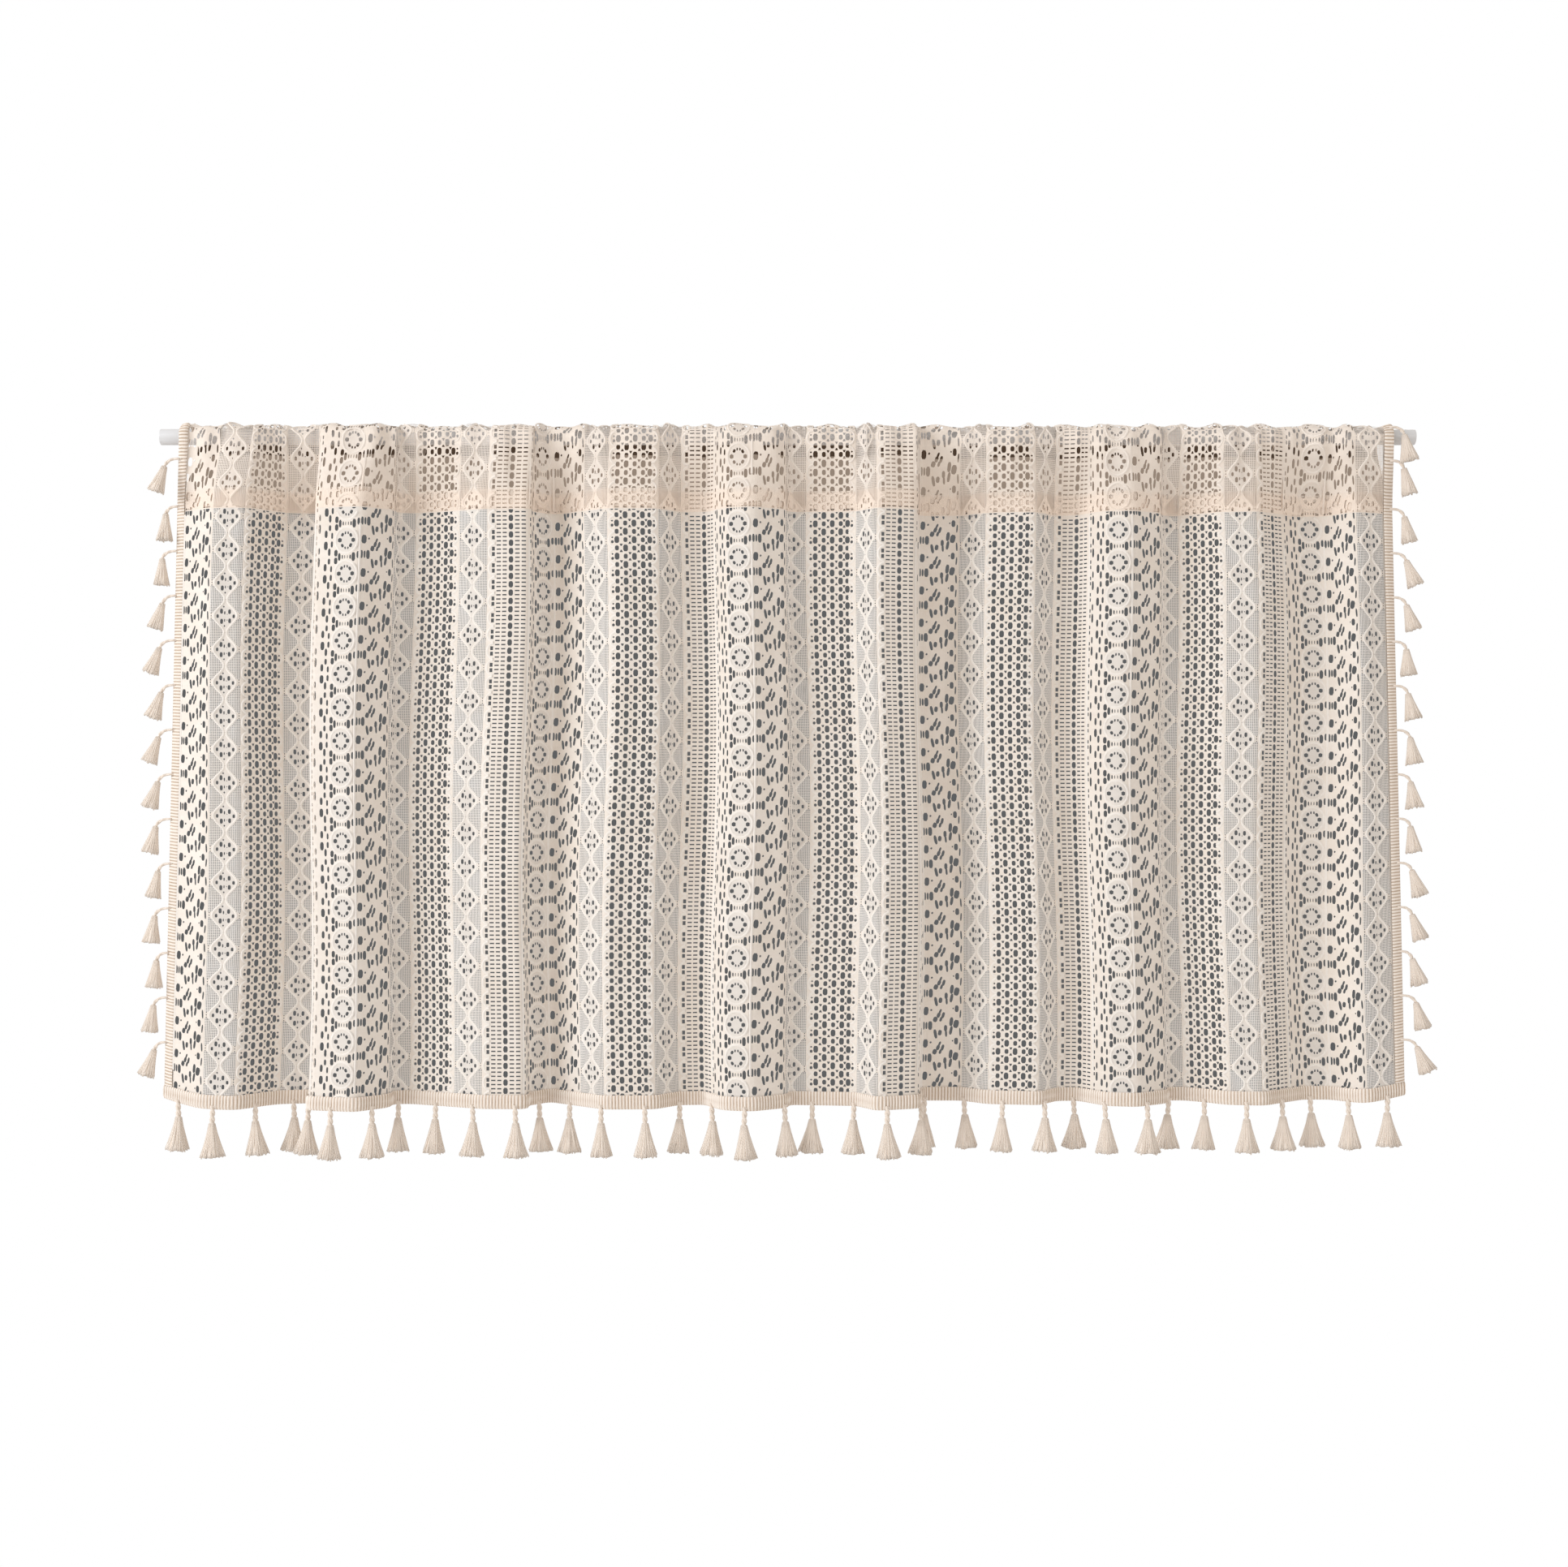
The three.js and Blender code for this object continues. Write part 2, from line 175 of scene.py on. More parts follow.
# Braid and tassels
BRAID_WIDTH = 9.0
HEM_BRAID_HEIGHT = 9.4
BRAID_RELIEF = 1.0
HEM_BRAID_DROP = 2.0
BRAID_THICKNESS = 1.5
PIECE_GAP = 0.3
HEM_TASSELS = 37
SIDE_TASSELS = 14
SIDE_TASSEL_FIRST = 20.0
SIDE_TASSEL_PITCH = 37.0
SIDE_CORD_REACH = 11.0
SIDE_CORD_FALL = 11.0
SIDE_SPLAY = (0.05, 0.45)
TOP_TASSEL = FRONT_TOP + 6.0
CORD_LENGTH = 11.0
HEM_CORD_RADIUS = 2.0
SIDE_CORD_RADIUS = 1.4


def smoothstep(low, high, value):
    t = np.clip((value - low) / (high - low), 0.0, 1.0)
    return t * t * (3 - 2 * t)


def lerp(a, b, t):
    return a + (b - a) * t


def rounded_slants(at_hem):
    """Slant of the cloth at each step of flat, averaged so that each turn is round."""
    steps = int(FLAT_WIDTH / SECTION_STEP)
    middles = (np.arange(steps) + 0.5) * SECTION_STEP
    ends = np.cumsum([face[0] for face in FACES])
    which = np.minimum(np.searchsorted(ends, middles, side="right"), len(FACES) - 1)
    slants = np.array([face[1] * (face[2] if at_hem else 1.0) for face in FACES])[which]
    reach = int(FOLD_ROUND / SECTION_STEP / 2)
    padded = np.concatenate([np.full(reach, slants[0]), slants, np.full(reach, slants[-1])])
    sums = np.concatenate([[0.0], np.cumsum(padded)])
    return middles, np.radians((sums[2 * reach:] - sums[:-2 * reach])[:steps] / (2 * reach))


def fold_section(at_hem):
    """Plan of the folds at one level: place along the rod and forward, by flat position."""
    _, slants = rounded_slants(at_hem)
    along = np.concatenate([[0.0], np.cumsum(np.cos(slants))]) * SECTION_STEP
    forward = np.concatenate([[0.0], np.cumsum(np.sin(slants))]) * SECTION_STEP
    along -= along[-1] / 2
    forward -= (forward.min() + forward.max()) / 2
    return along, forward


SECTION_FLAT = np.arange(int(FLAT_WIDTH / SECTION_STEP) + 1) * SECTION_STEP
HEM_ALONG, HEM_FORWARD = fold_section(True)
SEAM_ALONG, SEAM_FORWARD = fold_section(False)
SLANT_FLAT, SEAM_SLANT = rounded_slants(False)
FOLD_DEPTH = SEAM_FORWARD.max()


def crease_height(flat, drop):
    """How far the soft creases stand forward of the plain folds."""
    total = np.zeros_like(flat)
    for crease in CREASES:
        place = crease.flat + crease.lean * drop / HANG_LENGTH
        across = np.exp(-(((flat - place) / crease.width) ** 2))
        fade = smoothstep(crease.low - 60, crease.low + 60, drop)
        fade = fade * (1 - smoothstep(crease.high - 80, crease.high + 40, drop))
        total += crease.depth * across * fade
    return total


def pucker_height(flat, level):
    """Small gathers and pleats of the pocket, deepest at the rod and gone at the seam."""
    uneven = 5.0 * np.sin(flat / 61.0) + 3.0 * np.sin(flat / 23.7 + 1.1)
    wave = np.sin(2 * np.pi * (flat + uneven) / PUCKER_PITCH)
    strength = 0.65 + 0.35 * np.sin(flat / 37.0 + 0.6)
    height = PUCKER_HEIGHT * wave * strength * smoothstep(-POCKET_DEPTH + 4, -8.0, level)
    for pleat in PLEATS:
        past = flat - pleat.flat + pleat.lean * level / POCKET_DEPTH
        lip = np.exp(-((past / np.where(past < 0, PLEAT_RISE, PLEAT_FALL)) ** 2))
        height = height + pleat.height * lip * smoothstep(-POCKET_DEPTH - 6, -20.0, level)
    return height


def cloth_points(flat, drop):
    """Middle surface of the cloth, in millimetres, for arrays of flat and drop."""
    flat = np.asarray(flat, dtype=float)
    drop = np.asarray(drop, dtype=float)
    seam_x = np.interp(flat, SECTION_FLAT, SEAM_ALONG)
    seam_f = np.interp(flat, SECTION_FLAT, SEAM_FORWARD)
    slant = np.interp(flat, SLANT_FLAT, SEAM_SLANT)
    hem_x = np.interp(flat, SECTION_FLAT, HEM_ALONG)
    hem_f = np.interp(flat, SECTION_FLAT, HEM_FORWARD)
    behind_x = seam_x + SEAM_GAP * np.sin(slant)
    behind_f = -SEAM_GAP * np.cos(slant)
    front_top = POCKET_FRONT + POCKET_FOLD * (seam_f + FOLD_DEPTH)
    back_top = -POCKET_FRONT - POCKET_FOLD * (FOLD_DEPTH - seam_f)

    t = np.clip(drop / HANG_LENGTH, 0, 1)
    near_end = np.maximum(0, 1 - np.minimum(flat, FLAT_WIDTH - flat) / END_LIFT_REACH)
    x = lerp(hem_x, seam_x, t)
    x = x + SWAY * np.sin(np.pi * t) * np.sin(flat / 118.0 + 4.2 * t) * (1 - near_end)
    forward = lerp(hem_f, seam_f, t) + crease_height(flat, drop)
    z = -POCKET_DEPTH - HANG_LENGTH + drop + END_LIFT * near_end**2 * (1 - t)

    level = -POCKET_DEPTH + drop - HANG_LENGTH
    rise = smoothstep(-POCKET_DEPTH, 0.0, level)
    part = (drop > HANG_LENGTH) & (drop <= FRONT_TOP)
    x = np.where(part, seam_x * (1 - ROD_PINCH * rise), x)
    forward = np.where(part, lerp(seam_f, front_top, rise) + pucker_height(flat, level), forward)
    z = np.where(part, level, z)

    over = np.clip((drop - FRONT_TOP) / OVER_ROD, 0, 1)
    wander = 6.0 * np.sin(flat / 83.0) + 4.0 * np.sin(flat / 29.0)
    wave = 0.5 + 0.5 * np.sin(2 * np.pi * (flat + wander) / RUFFLE_PITCH)
    fine = 0.5 + 0.5 * np.sin(2 * np.pi * (flat + wander) / PUCKER_PITCH + 0.8)
    top = ROD_RADIUS + ROD_CLEARANCE + CLOTH_THICKNESS / 2
    top = top + RUFFLE_HEIGHT * (0.75 * wave**3 + 0.25 * fine)
    pucker = pucker_height(flat, np.zeros_like(flat))
    reach = np.where(over < 0.5, front_top + pucker, -(back_top + behind_f) + pucker)
    part = (drop > FRONT_TOP) & (drop < BACK_TOP)
    x = np.where(part, lerp(seam_x, behind_x, over) * (1 - ROD_PINCH), x)
    forward = np.where(part, reach * np.cos(over * np.pi), forward)
    z = np.where(part, top * np.sin(over * np.pi), z)

    level = BACK_TOP - drop
    rise = smoothstep(-POCKET_DEPTH, 0.0, level)
    part = (drop >= BACK_TOP) & (drop <= BACK_SEAM)
    x = np.where(part, behind_x * (1 - ROD_PINCH * rise), x)
    back = lerp(seam_f, back_top, rise) + behind_f - pucker_height(flat, level)
    forward = np.where(part, back, forward)
    z = np.where(part, level, z)

    level = -POCKET_DEPTH + drop - BACK_SEAM
    rise = smoothstep(-POCKET_DEPTH, 0.0, level)
    part = drop > BACK_SEAM
    x = np.where(part, lerp(seam_x, behind_x, TURNING_GAP) * (1 - ROD_PINCH * rise), x)
    tucked = lerp(seam_f, front_top, rise) + behind_f * TURNING_GAP + pucker_height(flat, level)
    forward = np.where(part, tucked, forward)
    z = np.where(part, level + 0.4, z)
    return np.stack([x, -forward, z], axis=-1)


def cloth_normals(flat, drop, step=0.6):
    """Unit normals of the cloth, facing out of its front."""
    flat = np.asarray(flat, dtype=float)
    drop = np.asarray(drop, dtype=float)
    right = cloth_points(np.minimum(flat + step, FLAT_WIDTH), drop)
    left = cloth_points(np.maximum(flat - step, 0), drop)
    above = cloth_points(flat, np.minimum(drop + step, CUT_LENGTH))
    below = cloth_points(flat, np.maximum(drop - step, 0))
    normals = np.cross(right - left, above - below)
    return normals / np.maximum(np.linalg.norm(normals, axis=-1, keepdims=True), 1e-9)


# Holes of the lace: place across the band and down the course, size, shape and lean, in millimetres
Hole = namedtuple("Hole", "x down width height shape lean", defaults=("oval", 0.0))
SHAPES = {
    "oval": [(1, 0.5), (0.55, 1), (-0.55, 1), (-1, 0.5), (-1, -0.5), (-0.55, -1), (0.55, -1), (1, -0.5)],
    "slit": [(0, 1), (-1, 0.6), (-1, -0.6), (0, -1), (1, -0.6), (1, 0.6)],
    "box": [(-1, -1), (1, -1), (1, 1), (-1, 1)],
    "pin": [(0, -1), (1, 0), (0, 1), (-1, 0)],
    "point_down": [(-1, -1), (1, -1), (0.35, 1), (-0.35, 1)],
    "point_up": [(-0.35, -1), (0.35, -1), (1, 1), (-1, 1)],
}


def diamond_holes():
    middle = BAND_WIDTHS["first_diamond"] / 2
    rows = (
        (-3.4, -3.8, 2.4, 4.0, "oval"), (3.3, -3.4, 2.3, 3.7, "oval"),
        (-3.2, 4.4, 2.4, 4.0, "oval"), (3.5, 4.0, 2.3, 3.7, "oval"),
        (-6.5, 0.2, 1.9, 3.3, "slit"), (6.9, 0.3, 2.0, 3.3, "slit"),
        (-0.7, -2.5, 1.1, 3.0, "slit"), (-0.7, 3.6, 0.9, 2.6, "slit"),
        (1.4, -1.3, 0.9, 1.0, "pin"), (1.4, 3.4, 0.9, 1.2, "pin"),
        (-1.6, -7.4, 1.6, 1.8, "pin"), (-0.8, 8.1, 1.6, 1.8, "pin"),
    )
    holes = [Hole(middle + x, down, width, height, shape) for x, down, width, height, shape in rows]
    for side in (-1, 1):
        holes += [Hole(middle + side * 11.9, down, 1.0, 1.5, "pin") for down in (-2.1, 0.0, 2.1)]
        holes.append(Hole(middle + side * 1.0, COURSE / 2, 0.8, 1.1, "pin"))
    return holes


def honeycomb_holes():
    columns = (7.0, 14.0, 21.0, 28.0, 33.6)
    pitch = COURSE / 4
    holes = []
    for row in range(4):
        down = row * pitch
        for i, x in enumerate(columns):
            large = (row + i) % 2 == 0
            holes.append(Hole(x, down, 3.8 if large else 3.2, 5.5 if large else 3.9))
        for i in range(len(columns) - 1):
            if (row + i) % 2 == 0:
                x = (columns[i] + columns[i + 1]) / 2
                holes.append(Hole(x, down + pitch - 2.5, 2.6, 1.9, "point_down"))
                holes.append(Hole(x, down + pitch + 2.5, 2.6, 1.9, "point_up"))
    for scallop in (0, COURSE / 2):
        for x in (3.3, 37.2):
            holes.append(Hole(x, scallop - 1.9, 2.0, 1.7, "pin"))
            holes.append(Hole(x, scallop + 1.7, 2.2, 2.6, "slit"))
    return holes


def ladder_holes():
    holes = []
    for step in range(8):
        down = (step + 0.5) * COURSE / 8
        rungs = ((8.6, 3.6), (13.5, 3.4), (23.8, 3.7), (29.0, 3.6))
        holes += [Hole(x, down, width, 1.1, "box") for x, width in rungs]
    holes += [Hole(18.6, row * COURSE / 4, 3.6, 5.1) for row in range(4)]
    for scallop in (0, COURSE / 2):
        holes += [Hole(4.1, scallop + up * 2.2, 2.4, 3.2, "box") for up in (-1, 1)]
    return holes


def petal_holes():
    rows = (
        (4.4, 0.315, 1.8, 5.2), (4.4, 0.65, 2.3, 7.2), (10.4, -0.19, 2.5, 5.8), (10.4, 0.157, 3.3, 6.6),
        (13.6, 0.35, 2.2, 5.8), (13.6, 0.63, 2.1, 4.6), (15.7, -0.14, 1.7, 4.8), (15.7, 0.12, 2.0, 4.8),
    )
    holes = [Hole(x, v * COURSE, width, height) for x, v, width, height in rows]
    for pair in (0, COURSE / 2):
        holes += [Hole(1.5, pair + up * 2.2, 1.4, 2.7, "box") for up in (-1, 1)]
    return holes


def ring_holes():
    middle = BAND_WIDTHS["ring"] / 2
    rows = (
        (-5.8, 0.0, 3.3, 3.7, 0), (5.8, 0.0, 3.1, 3.6, 0),
        (-3.6, -4.4, 2.2, 3.2, 24), (3.6, -4.0, 2.2, 3.4, -24),
        (-1.1, -5.8, 1.2, 2.5, 6), (1.3, -5.8, 1.2, 2.4, -6),
        (-3.5, 4.4, 2.2, 3.2, -24), (3.7, 4.2, 2.4, 3.6, 24),
        (-1.0, 6.2, 1.2, 2.3, -6), (1.4, 6.3, 1.2, 2.2, 6),
    )
    holes = [Hole(middle + x, down, width, height, "slit", lean) for x, down, width, height, lean in rows]
    rows = (
        (-8.9, -3.1, 2.9, 5.2), (-8.9, 3.1, 2.9, 5.2), (-5.9, 0.0, 2.3, 6.0),
        (-3.2, 0.0, 1.1, 3.2), (-1.1, 0.0, 0.7, 2.7), (1.2, 0.0, 0.7, 2.7),
        (3.6, 0.0, 1.4, 3.3), (6.3, 0.0, 3.0, 7.0), (10.0, -1.6, 2.2, 5.6),
    )
    between = COURSE / 2
    return holes + [Hole(middle + x, between + down, width, height) for x, down, width, height in rows]


def leaf_holes():
    width = BAND_WIDTHS["leaf"]
    rows = (
        (0.045, 0.42, 1.8, 5.6, 0), (0.12, 0.42, 1.5, 5.0, 0), (0.215, 0.42, 3.0, 6.2, 0),
        (0.1, -0.03, 3.8, 6.0, 4), (0.235, -0.06, 1.3, 1.5, 40),
        (0.35, 0.68, 2.2, 6.6, -12), (0.46, 0.64, 2.6, 3.9, 8),
        (0.46, -0.02, 1.5, 3.4, 24), (0.42, 0.1, 2.4, 3.8, 22), (0.535, 0.1, 2.0, 4.4, 16),
        (0.34, 0.23, 3.1, 3.8, 20), (0.48, 0.225, 1.8, 3.4, 18),
        (0.6, 0.5, 2.3, 4.4, 0), (0.615, 0.66, 1.5, 5.0, -4),
        (0.74, 0.3, 2.6, 6.4, 6), (0.86, 0.37, 3.8, 5.9, 12),
        (0.735, 0.57, 2.1, 6.2, 10), (0.87, -0.1, 2.8, 4.8, 0), (0.78, -0.11, 1.0, 1.1, 0),
        (0.965, 0.06, 1.1, 5.6, 4), (0.965, 0.62, 1.2, 6.0, -4),
    )
    return [
        Hole(fx * width, v * COURSE, w * LEAF_OPENING, h * LEAF_OPENING, "oval", lean)
        for fx, v, w, h, lean in rows
    ]


BAND_HOLES = {
    "leaf": leaf_holes,
    "first_diamond": diamond_holes,
    "honeycomb": honeycomb_holes,
    "second_diamond": diamond_holes,
    "ladder": ladder_holes,
    "petal": petal_holes,
    "ring": ring_holes,
}


def band_layout():
    """Every band of the cloth from the left: its kind, left edge, width and shift."""
    bands = []
    left = SELVEDGE
    for shifts in SHIFTS:
        for kind, width in BAND_WIDTHS.items():
            shift = shifts.get(SHIFT_LIKE.get(kind, kind))
            if shift is None:
                continue
            bands.append((kind, left, width, shift))
            left += width
    return bands, left


def hole_polygon(hole, width):
    """Corners of a hole, with its lean, kept inside its band."""
    lean = math.radians(hole.lean)
    points = []
    for x, y in SHAPES[hole.shape]:
        across = x * hole.width / 2
        down = y * hole.height / 2
        px = hole.x + across * math.cos(lean) - down * math.sin(lean)
        py = hole.down + across * math.sin(lean) + down * math.cos(lean)
        points.append((min(max(px, HOLE_MARGIN), width - HOLE_MARGIN), py))
    return points


def left_turning(outline):
    """The same outline, with its corners in anticlockwise order."""
    turned = sum(a[0] * b[1] - a[1] * b[0] for a, b in zip(outline, outline[1:] + outline[:1]))
    return outline if turned > 0 else outline[::-1]


def chain_half_width(down):
    """Half the width of the chain of diamonds at a distance below a diamond's middle."""
    return CHAIN_MEAN + CHAIN_SWING * np.cos(2 * np.pi * np.asarray(down) / COURSE)


def net_panels(width):
    """The two panels of fine net beside the neck of a chain of diamonds."""
    downs = np.linspace(NET_START, COURSE - NET_START, 8)
    inner = width / 2 - chain_half_width(downs) - CORD_WIDTH / 2
    left = [(NET_EDGE, downs[-1]), (NET_EDGE, downs[0])]
    left += [(float(x), float(y)) for x, y in zip(inner, downs)]
    return [left, [(width - x, y) for x, y in left]]


def cut_at(outline, limit, above):
    """The part of an outline that lies above or below a drop."""
    kept = []
    for a, b in zip(outline, outline[1:] + outline[:1]):
        a_in = (a[1] > limit) == above
        b_in = (b[1] > limit) == above
        if a_in:
            kept.append(a)
        if a_in != b_in:
            kept.append((lerp(a[0], b[0], (limit - a[1]) / (b[1] - a[1])), limit))
    return kept


def clipped(outline, low, high):
    """The outline cut off straight at two drops, or nothing where too little is left."""
    kept = cut_at(cut_at(outline, low, True), high, False)
    drops = [y for _, y in kept]
    return kept if kept and max(drops) - min(drops) > SMALLEST_HOLE else None


def band_cutouts(kind, width, shift, low, high):
    """Outlines of the holes and of the net panels of one band, with y as drop."""
    holes = []
    nets = []
    first = math.floor(-CUT_LENGTH / COURSE) - 3
    top = min(high, BACK_SEAM) - SEAM_MARGIN
    charted = [hole_polygon(hole, width) for hole in BAND_HOLES[kind]()]
    panels = net_panels(width) if "diamond" in kind else []
    for row in range(first, -first):
        base = HANG_LENGTH - (row + shift) * COURSE
        for outlines, kept in ((charted, holes), (panels, nets)):
            for outline in outlines:
                placed = clipped([(x, base - y) for x, y in outline], low + SEAM_MARGIN, top)
                if placed:
                    kept.append(left_turning(placed))
    return holes, nets


def border_drops(low, high):
    step = COURSE / 8
    count = int(round((high - low) / step))
    return np.linspace(low, high, count + 1)


def inner_points(width, low, high, outlines):
    """Points that keep the facets of the plain parts small, clear of every hole."""
    across = np.linspace(0, width, max(2, int(round(width / FILL_PITCH))) + 1)[1:-1]
    up = border_drops(low, high)[1:-1:2]
    grid = np.array([(x, y) for y in up for x in across])
    keep = np.ones(len(grid), dtype=bool)
    for outline in outlines:
        corner = np.array(outline)
        past_low = grid > corner.min(0) - FILL_CLEARANCE
        short_of_high = grid < corner.max(0) + FILL_CLEARANCE
        keep &= ~np.all(past_low & short_of_high, axis=1)
    return [tuple(point) for point in grid[keep]]


def pierced_band(kind, width, shift, low, high):
    """Flat triangles of one band between two drops, with its holes left open, and its net panels."""
    holes, nets = band_cutouts(kind, width, shift, low, high)
    outlines = holes + nets
    drops = border_drops(low, high)
    points = [(0.0, y) for y in drops] + [(width, y) for y in drops]
    for y in (low, high):
        points += [(x, y) for x in np.linspace(0, width, max(2, int(round(width / FILL_PITCH))) + 1)[1:-1]]
    points += inner_points(width, low, high, outlines)
    faces = []
    for outline in outlines:
        faces.append(list(range(len(points), len(points) + len(outline))))
        points += outline
    flat = [Vector(point) for point in points]
    verts, _, triangles, _, _, sources = delaunay_2d_cdt(flat, [], faces, 0, 1e-5)
    kept = [triangle for triangle, source in zip(triangles, sources) if not source]
    return np.array([tuple(vert) for vert in verts]), kept, nets


def plain_band(width, low, high):
    """Flat triangles of a plain strip of cloth."""
    across = np.linspace(0, width, 4)
    drops = border_drops(low, high)
    points = np.array([(x, y) for y in drops for x in across])
    triangles = []
    for j in range(len(drops) - 1):
        for i in range(len(across) - 1):
            a = j * len(across) + i
            b = a + len(across)
            triangles += [(a, a + 1, b + 1), (a, b + 1, b)]
    return points, triangles


def lace_flat(low, high):
    """Flat lace of the whole width between two drops: points, triangles and net outlines."""
    bands, right = band_layout()
    strips = [(0.0, *plain_band(SELVEDGE, low, high), [])]
    for kind, left, width, shift in bands:
        strips.append((left, *pierced_band(kind, width, shift, low, high)))
    strips.append((right, *plain_band(FLAT_WIDTH - right, low, high), []))
    points = []
    triangles = []
    nets = []
    count = 0
    for left, verts, faces, panels in strips:
        points.append(verts + np.array([left, 0.0]))
        triangles += [[i + count for i in face] for face in faces]
        nets += [[(x + left, y) for x, y in panel] for panel in panels]
        count += len(verts)
    points = np.concatenate(points)
    keys = np.round(points * WELD_STEPS).astype(np.int64)
    _, index, inverse = np.unique(keys, axis=0, return_index=True, return_inverse=True)
    inverse = inverse.reshape(-1)
    triangles = inverse[np.array(triangles)]
    first, second, third = triangles.T
    points = points[index]
    triangles = triangles[(first != second) & (second != third) & (first != third)]
    a, b, c = (points[triangles[:, i]] for i in range(3))
    turned = (b[:, 0] - a[:, 0]) * (c[:, 1] - a[:, 1]) - (b[:, 1] - a[:, 1]) * (c[:, 0] - a[:, 0])
    triangles[turned < 0] = triangles[turned < 0][:, [0, 2, 1]]
    return points, triangles, nets


def thin_ground(flat):
    """How thin the knitted ground is: 1 inside the diamonds and rings, 0 on the solid bands."""
    thin = np.zeros(len(flat))
    for kind, left, width, shift in band_layout()[0]:
        if kind != "ring" and "diamond" not in kind:
            continue
        across = np.abs(flat[:, 0] - left - width / 2)
        down = (HANG_LENGTH - flat[:, 1]) / COURSE - shift
        down = (down - np.round(down)) * COURSE
        if kind == "ring":
            share = np.hypot(across / RING_HALF[0], down / RING_HALF[1])
        else:
            share = across / chain_half_width(down)
        thin = np.where(across < width / 2, 1 - smoothstep(*THIN_EDGE, share), thin)
    return thin


# Raised cords that outline the motifs: half sizes of a ring and of a scallop, in millimetres
RING_HALF = (9.6, 10.7)
SCALLOP_DEPTH = 5.2
SCALLOP_HALF = 6.1


def inside_runs(path, low, high):
    """The stretches of a path that lie between two drops."""
    runs = []
    run = []
    for point in path:
        if low < point[1] < high:
            run.append(point)
            continue
        if len(run) > 1:
            runs.append(np.array(run))
        run = []
    if len(run) > 1:
        runs.append(np.array(run))
    return runs


def motif_cords(kind, left, width):
    """Paths of the cords of one course of a band, around its motif at the middle of the course."""
    middle = left + width / 2
    turns = np.linspace(0, 2 * np.pi, 17)
    half_turns = np.linspace(-np.pi / 2, np.pi / 2, 9)
    paths = []
    if "diamond" in kind:
        ups = np.linspace(-COURSE / 2, COURSE / 2, 13)
        half = chain_half_width(ups)
        paths += [np.stack([middle + side * half, ups], axis=1) for side in (-1, 1)]
    if kind == "ring":
        paths.append(np.stack([middle + RING_HALF[0] * np.cos(turns), RING_HALF[1] * np.sin(turns)], axis=1))
    edges = {"honeycomb": ((left, 1), (left + width, -1)), "ladder": ((left, 1),)}
    for edge, inward in edges.get(kind, ()):
        for centre in (0, COURSE / 2):
            across = edge + inward * (0.3 + SCALLOP_DEPTH * (1 - np.cos(half_turns)))
            paths.append(np.stack([across, centre + SCALLOP_HALF * np.sin(half_turns)], axis=1))
    if kind in ("leaf", "petal"):
        paths.append(np.array([[left, -COURSE / 2], [left, COURSE / 2]]))
    return paths


def cord_paths(low, high):
    """Flat paths of all the raised cords between two drops."""
    paths = []
    top = min(high, BACK_SEAM)
    for kind, left, width, shift in band_layout()[0]:
        motif = motif_cords(kind, left, width)
        for row in range(-8, 20):
            drop = HANG_LENGTH - (row + shift) * COURSE
            for path in motif:
                paths += inside_runs(path + np.array([0.0, drop]), low + SEAM_MARGIN, top - SEAM_MARGIN)
    return paths


def raised_cords(paths):
    """A low rounded ridge along every path: flat points, heights and quads."""
    flat = []
    heights = []
    quads = []
    count = 0
    for path in paths:
        run = np.gradient(path, axis=0)
        run /= np.maximum(np.linalg.norm(run, axis=1, keepdims=True), 1e-9)
        side = np.stack([-run[:, 1], run[:, 0]], axis=1) * CORD_WIDTH / 2
        rows = np.stack([path - side, path, path + side], axis=1)
        flat.append(rows.reshape(-1, 2))
        heights.append(np.tile([0.05, CORD_HEIGHT, 0.05], len(path)))
        for i in range(len(path) - 1):
            a = count + 3 * i
            quads += [(a, a + 1, a + 4, a + 3), (a + 1, a + 2, a + 5, a + 4)]
        count += 3 * len(path)
    flat = np.concatenate(flat)
    corner = flat[np.array(quads)[:, :3]]
    first, second = corner[:, 1] - corner[:, 0], corner[:, 2] - corner[:, 0]
    turned = first[:, 0] * second[:, 1] - first[:, 1] * second[:, 0]
    quads = [quad if turn > 0 else quad[::-1] for quad, turn in zip(quads, turned)]
    return flat, np.concatenate(heights), quads


NET_PITCH = 1.05
NET_CROSS_PITCH = 1.35
NET_THREAD = 0.54
NET_CROSS_THREAD = 0.4
NET_OVERLAP = 0.3
SHORTEST_THREAD = 0.4
THREAD_PART = 4.5


def edge_span(outline, axis, value):
    """Where a line at one value of an axis enters and leaves an outline."""
    hits = []
    for a, b in zip(outline, outline[1:] + outline[:1]):
        if (a[axis] - value) * (b[axis] - value) < 0:
            t = (value - a[axis]) / (b[axis] - a[axis])
            hits.append(lerp(a[1 - axis], b[1 - axis], t))
    return (min(hits), max(hits)) if len(hits) == 2 else None


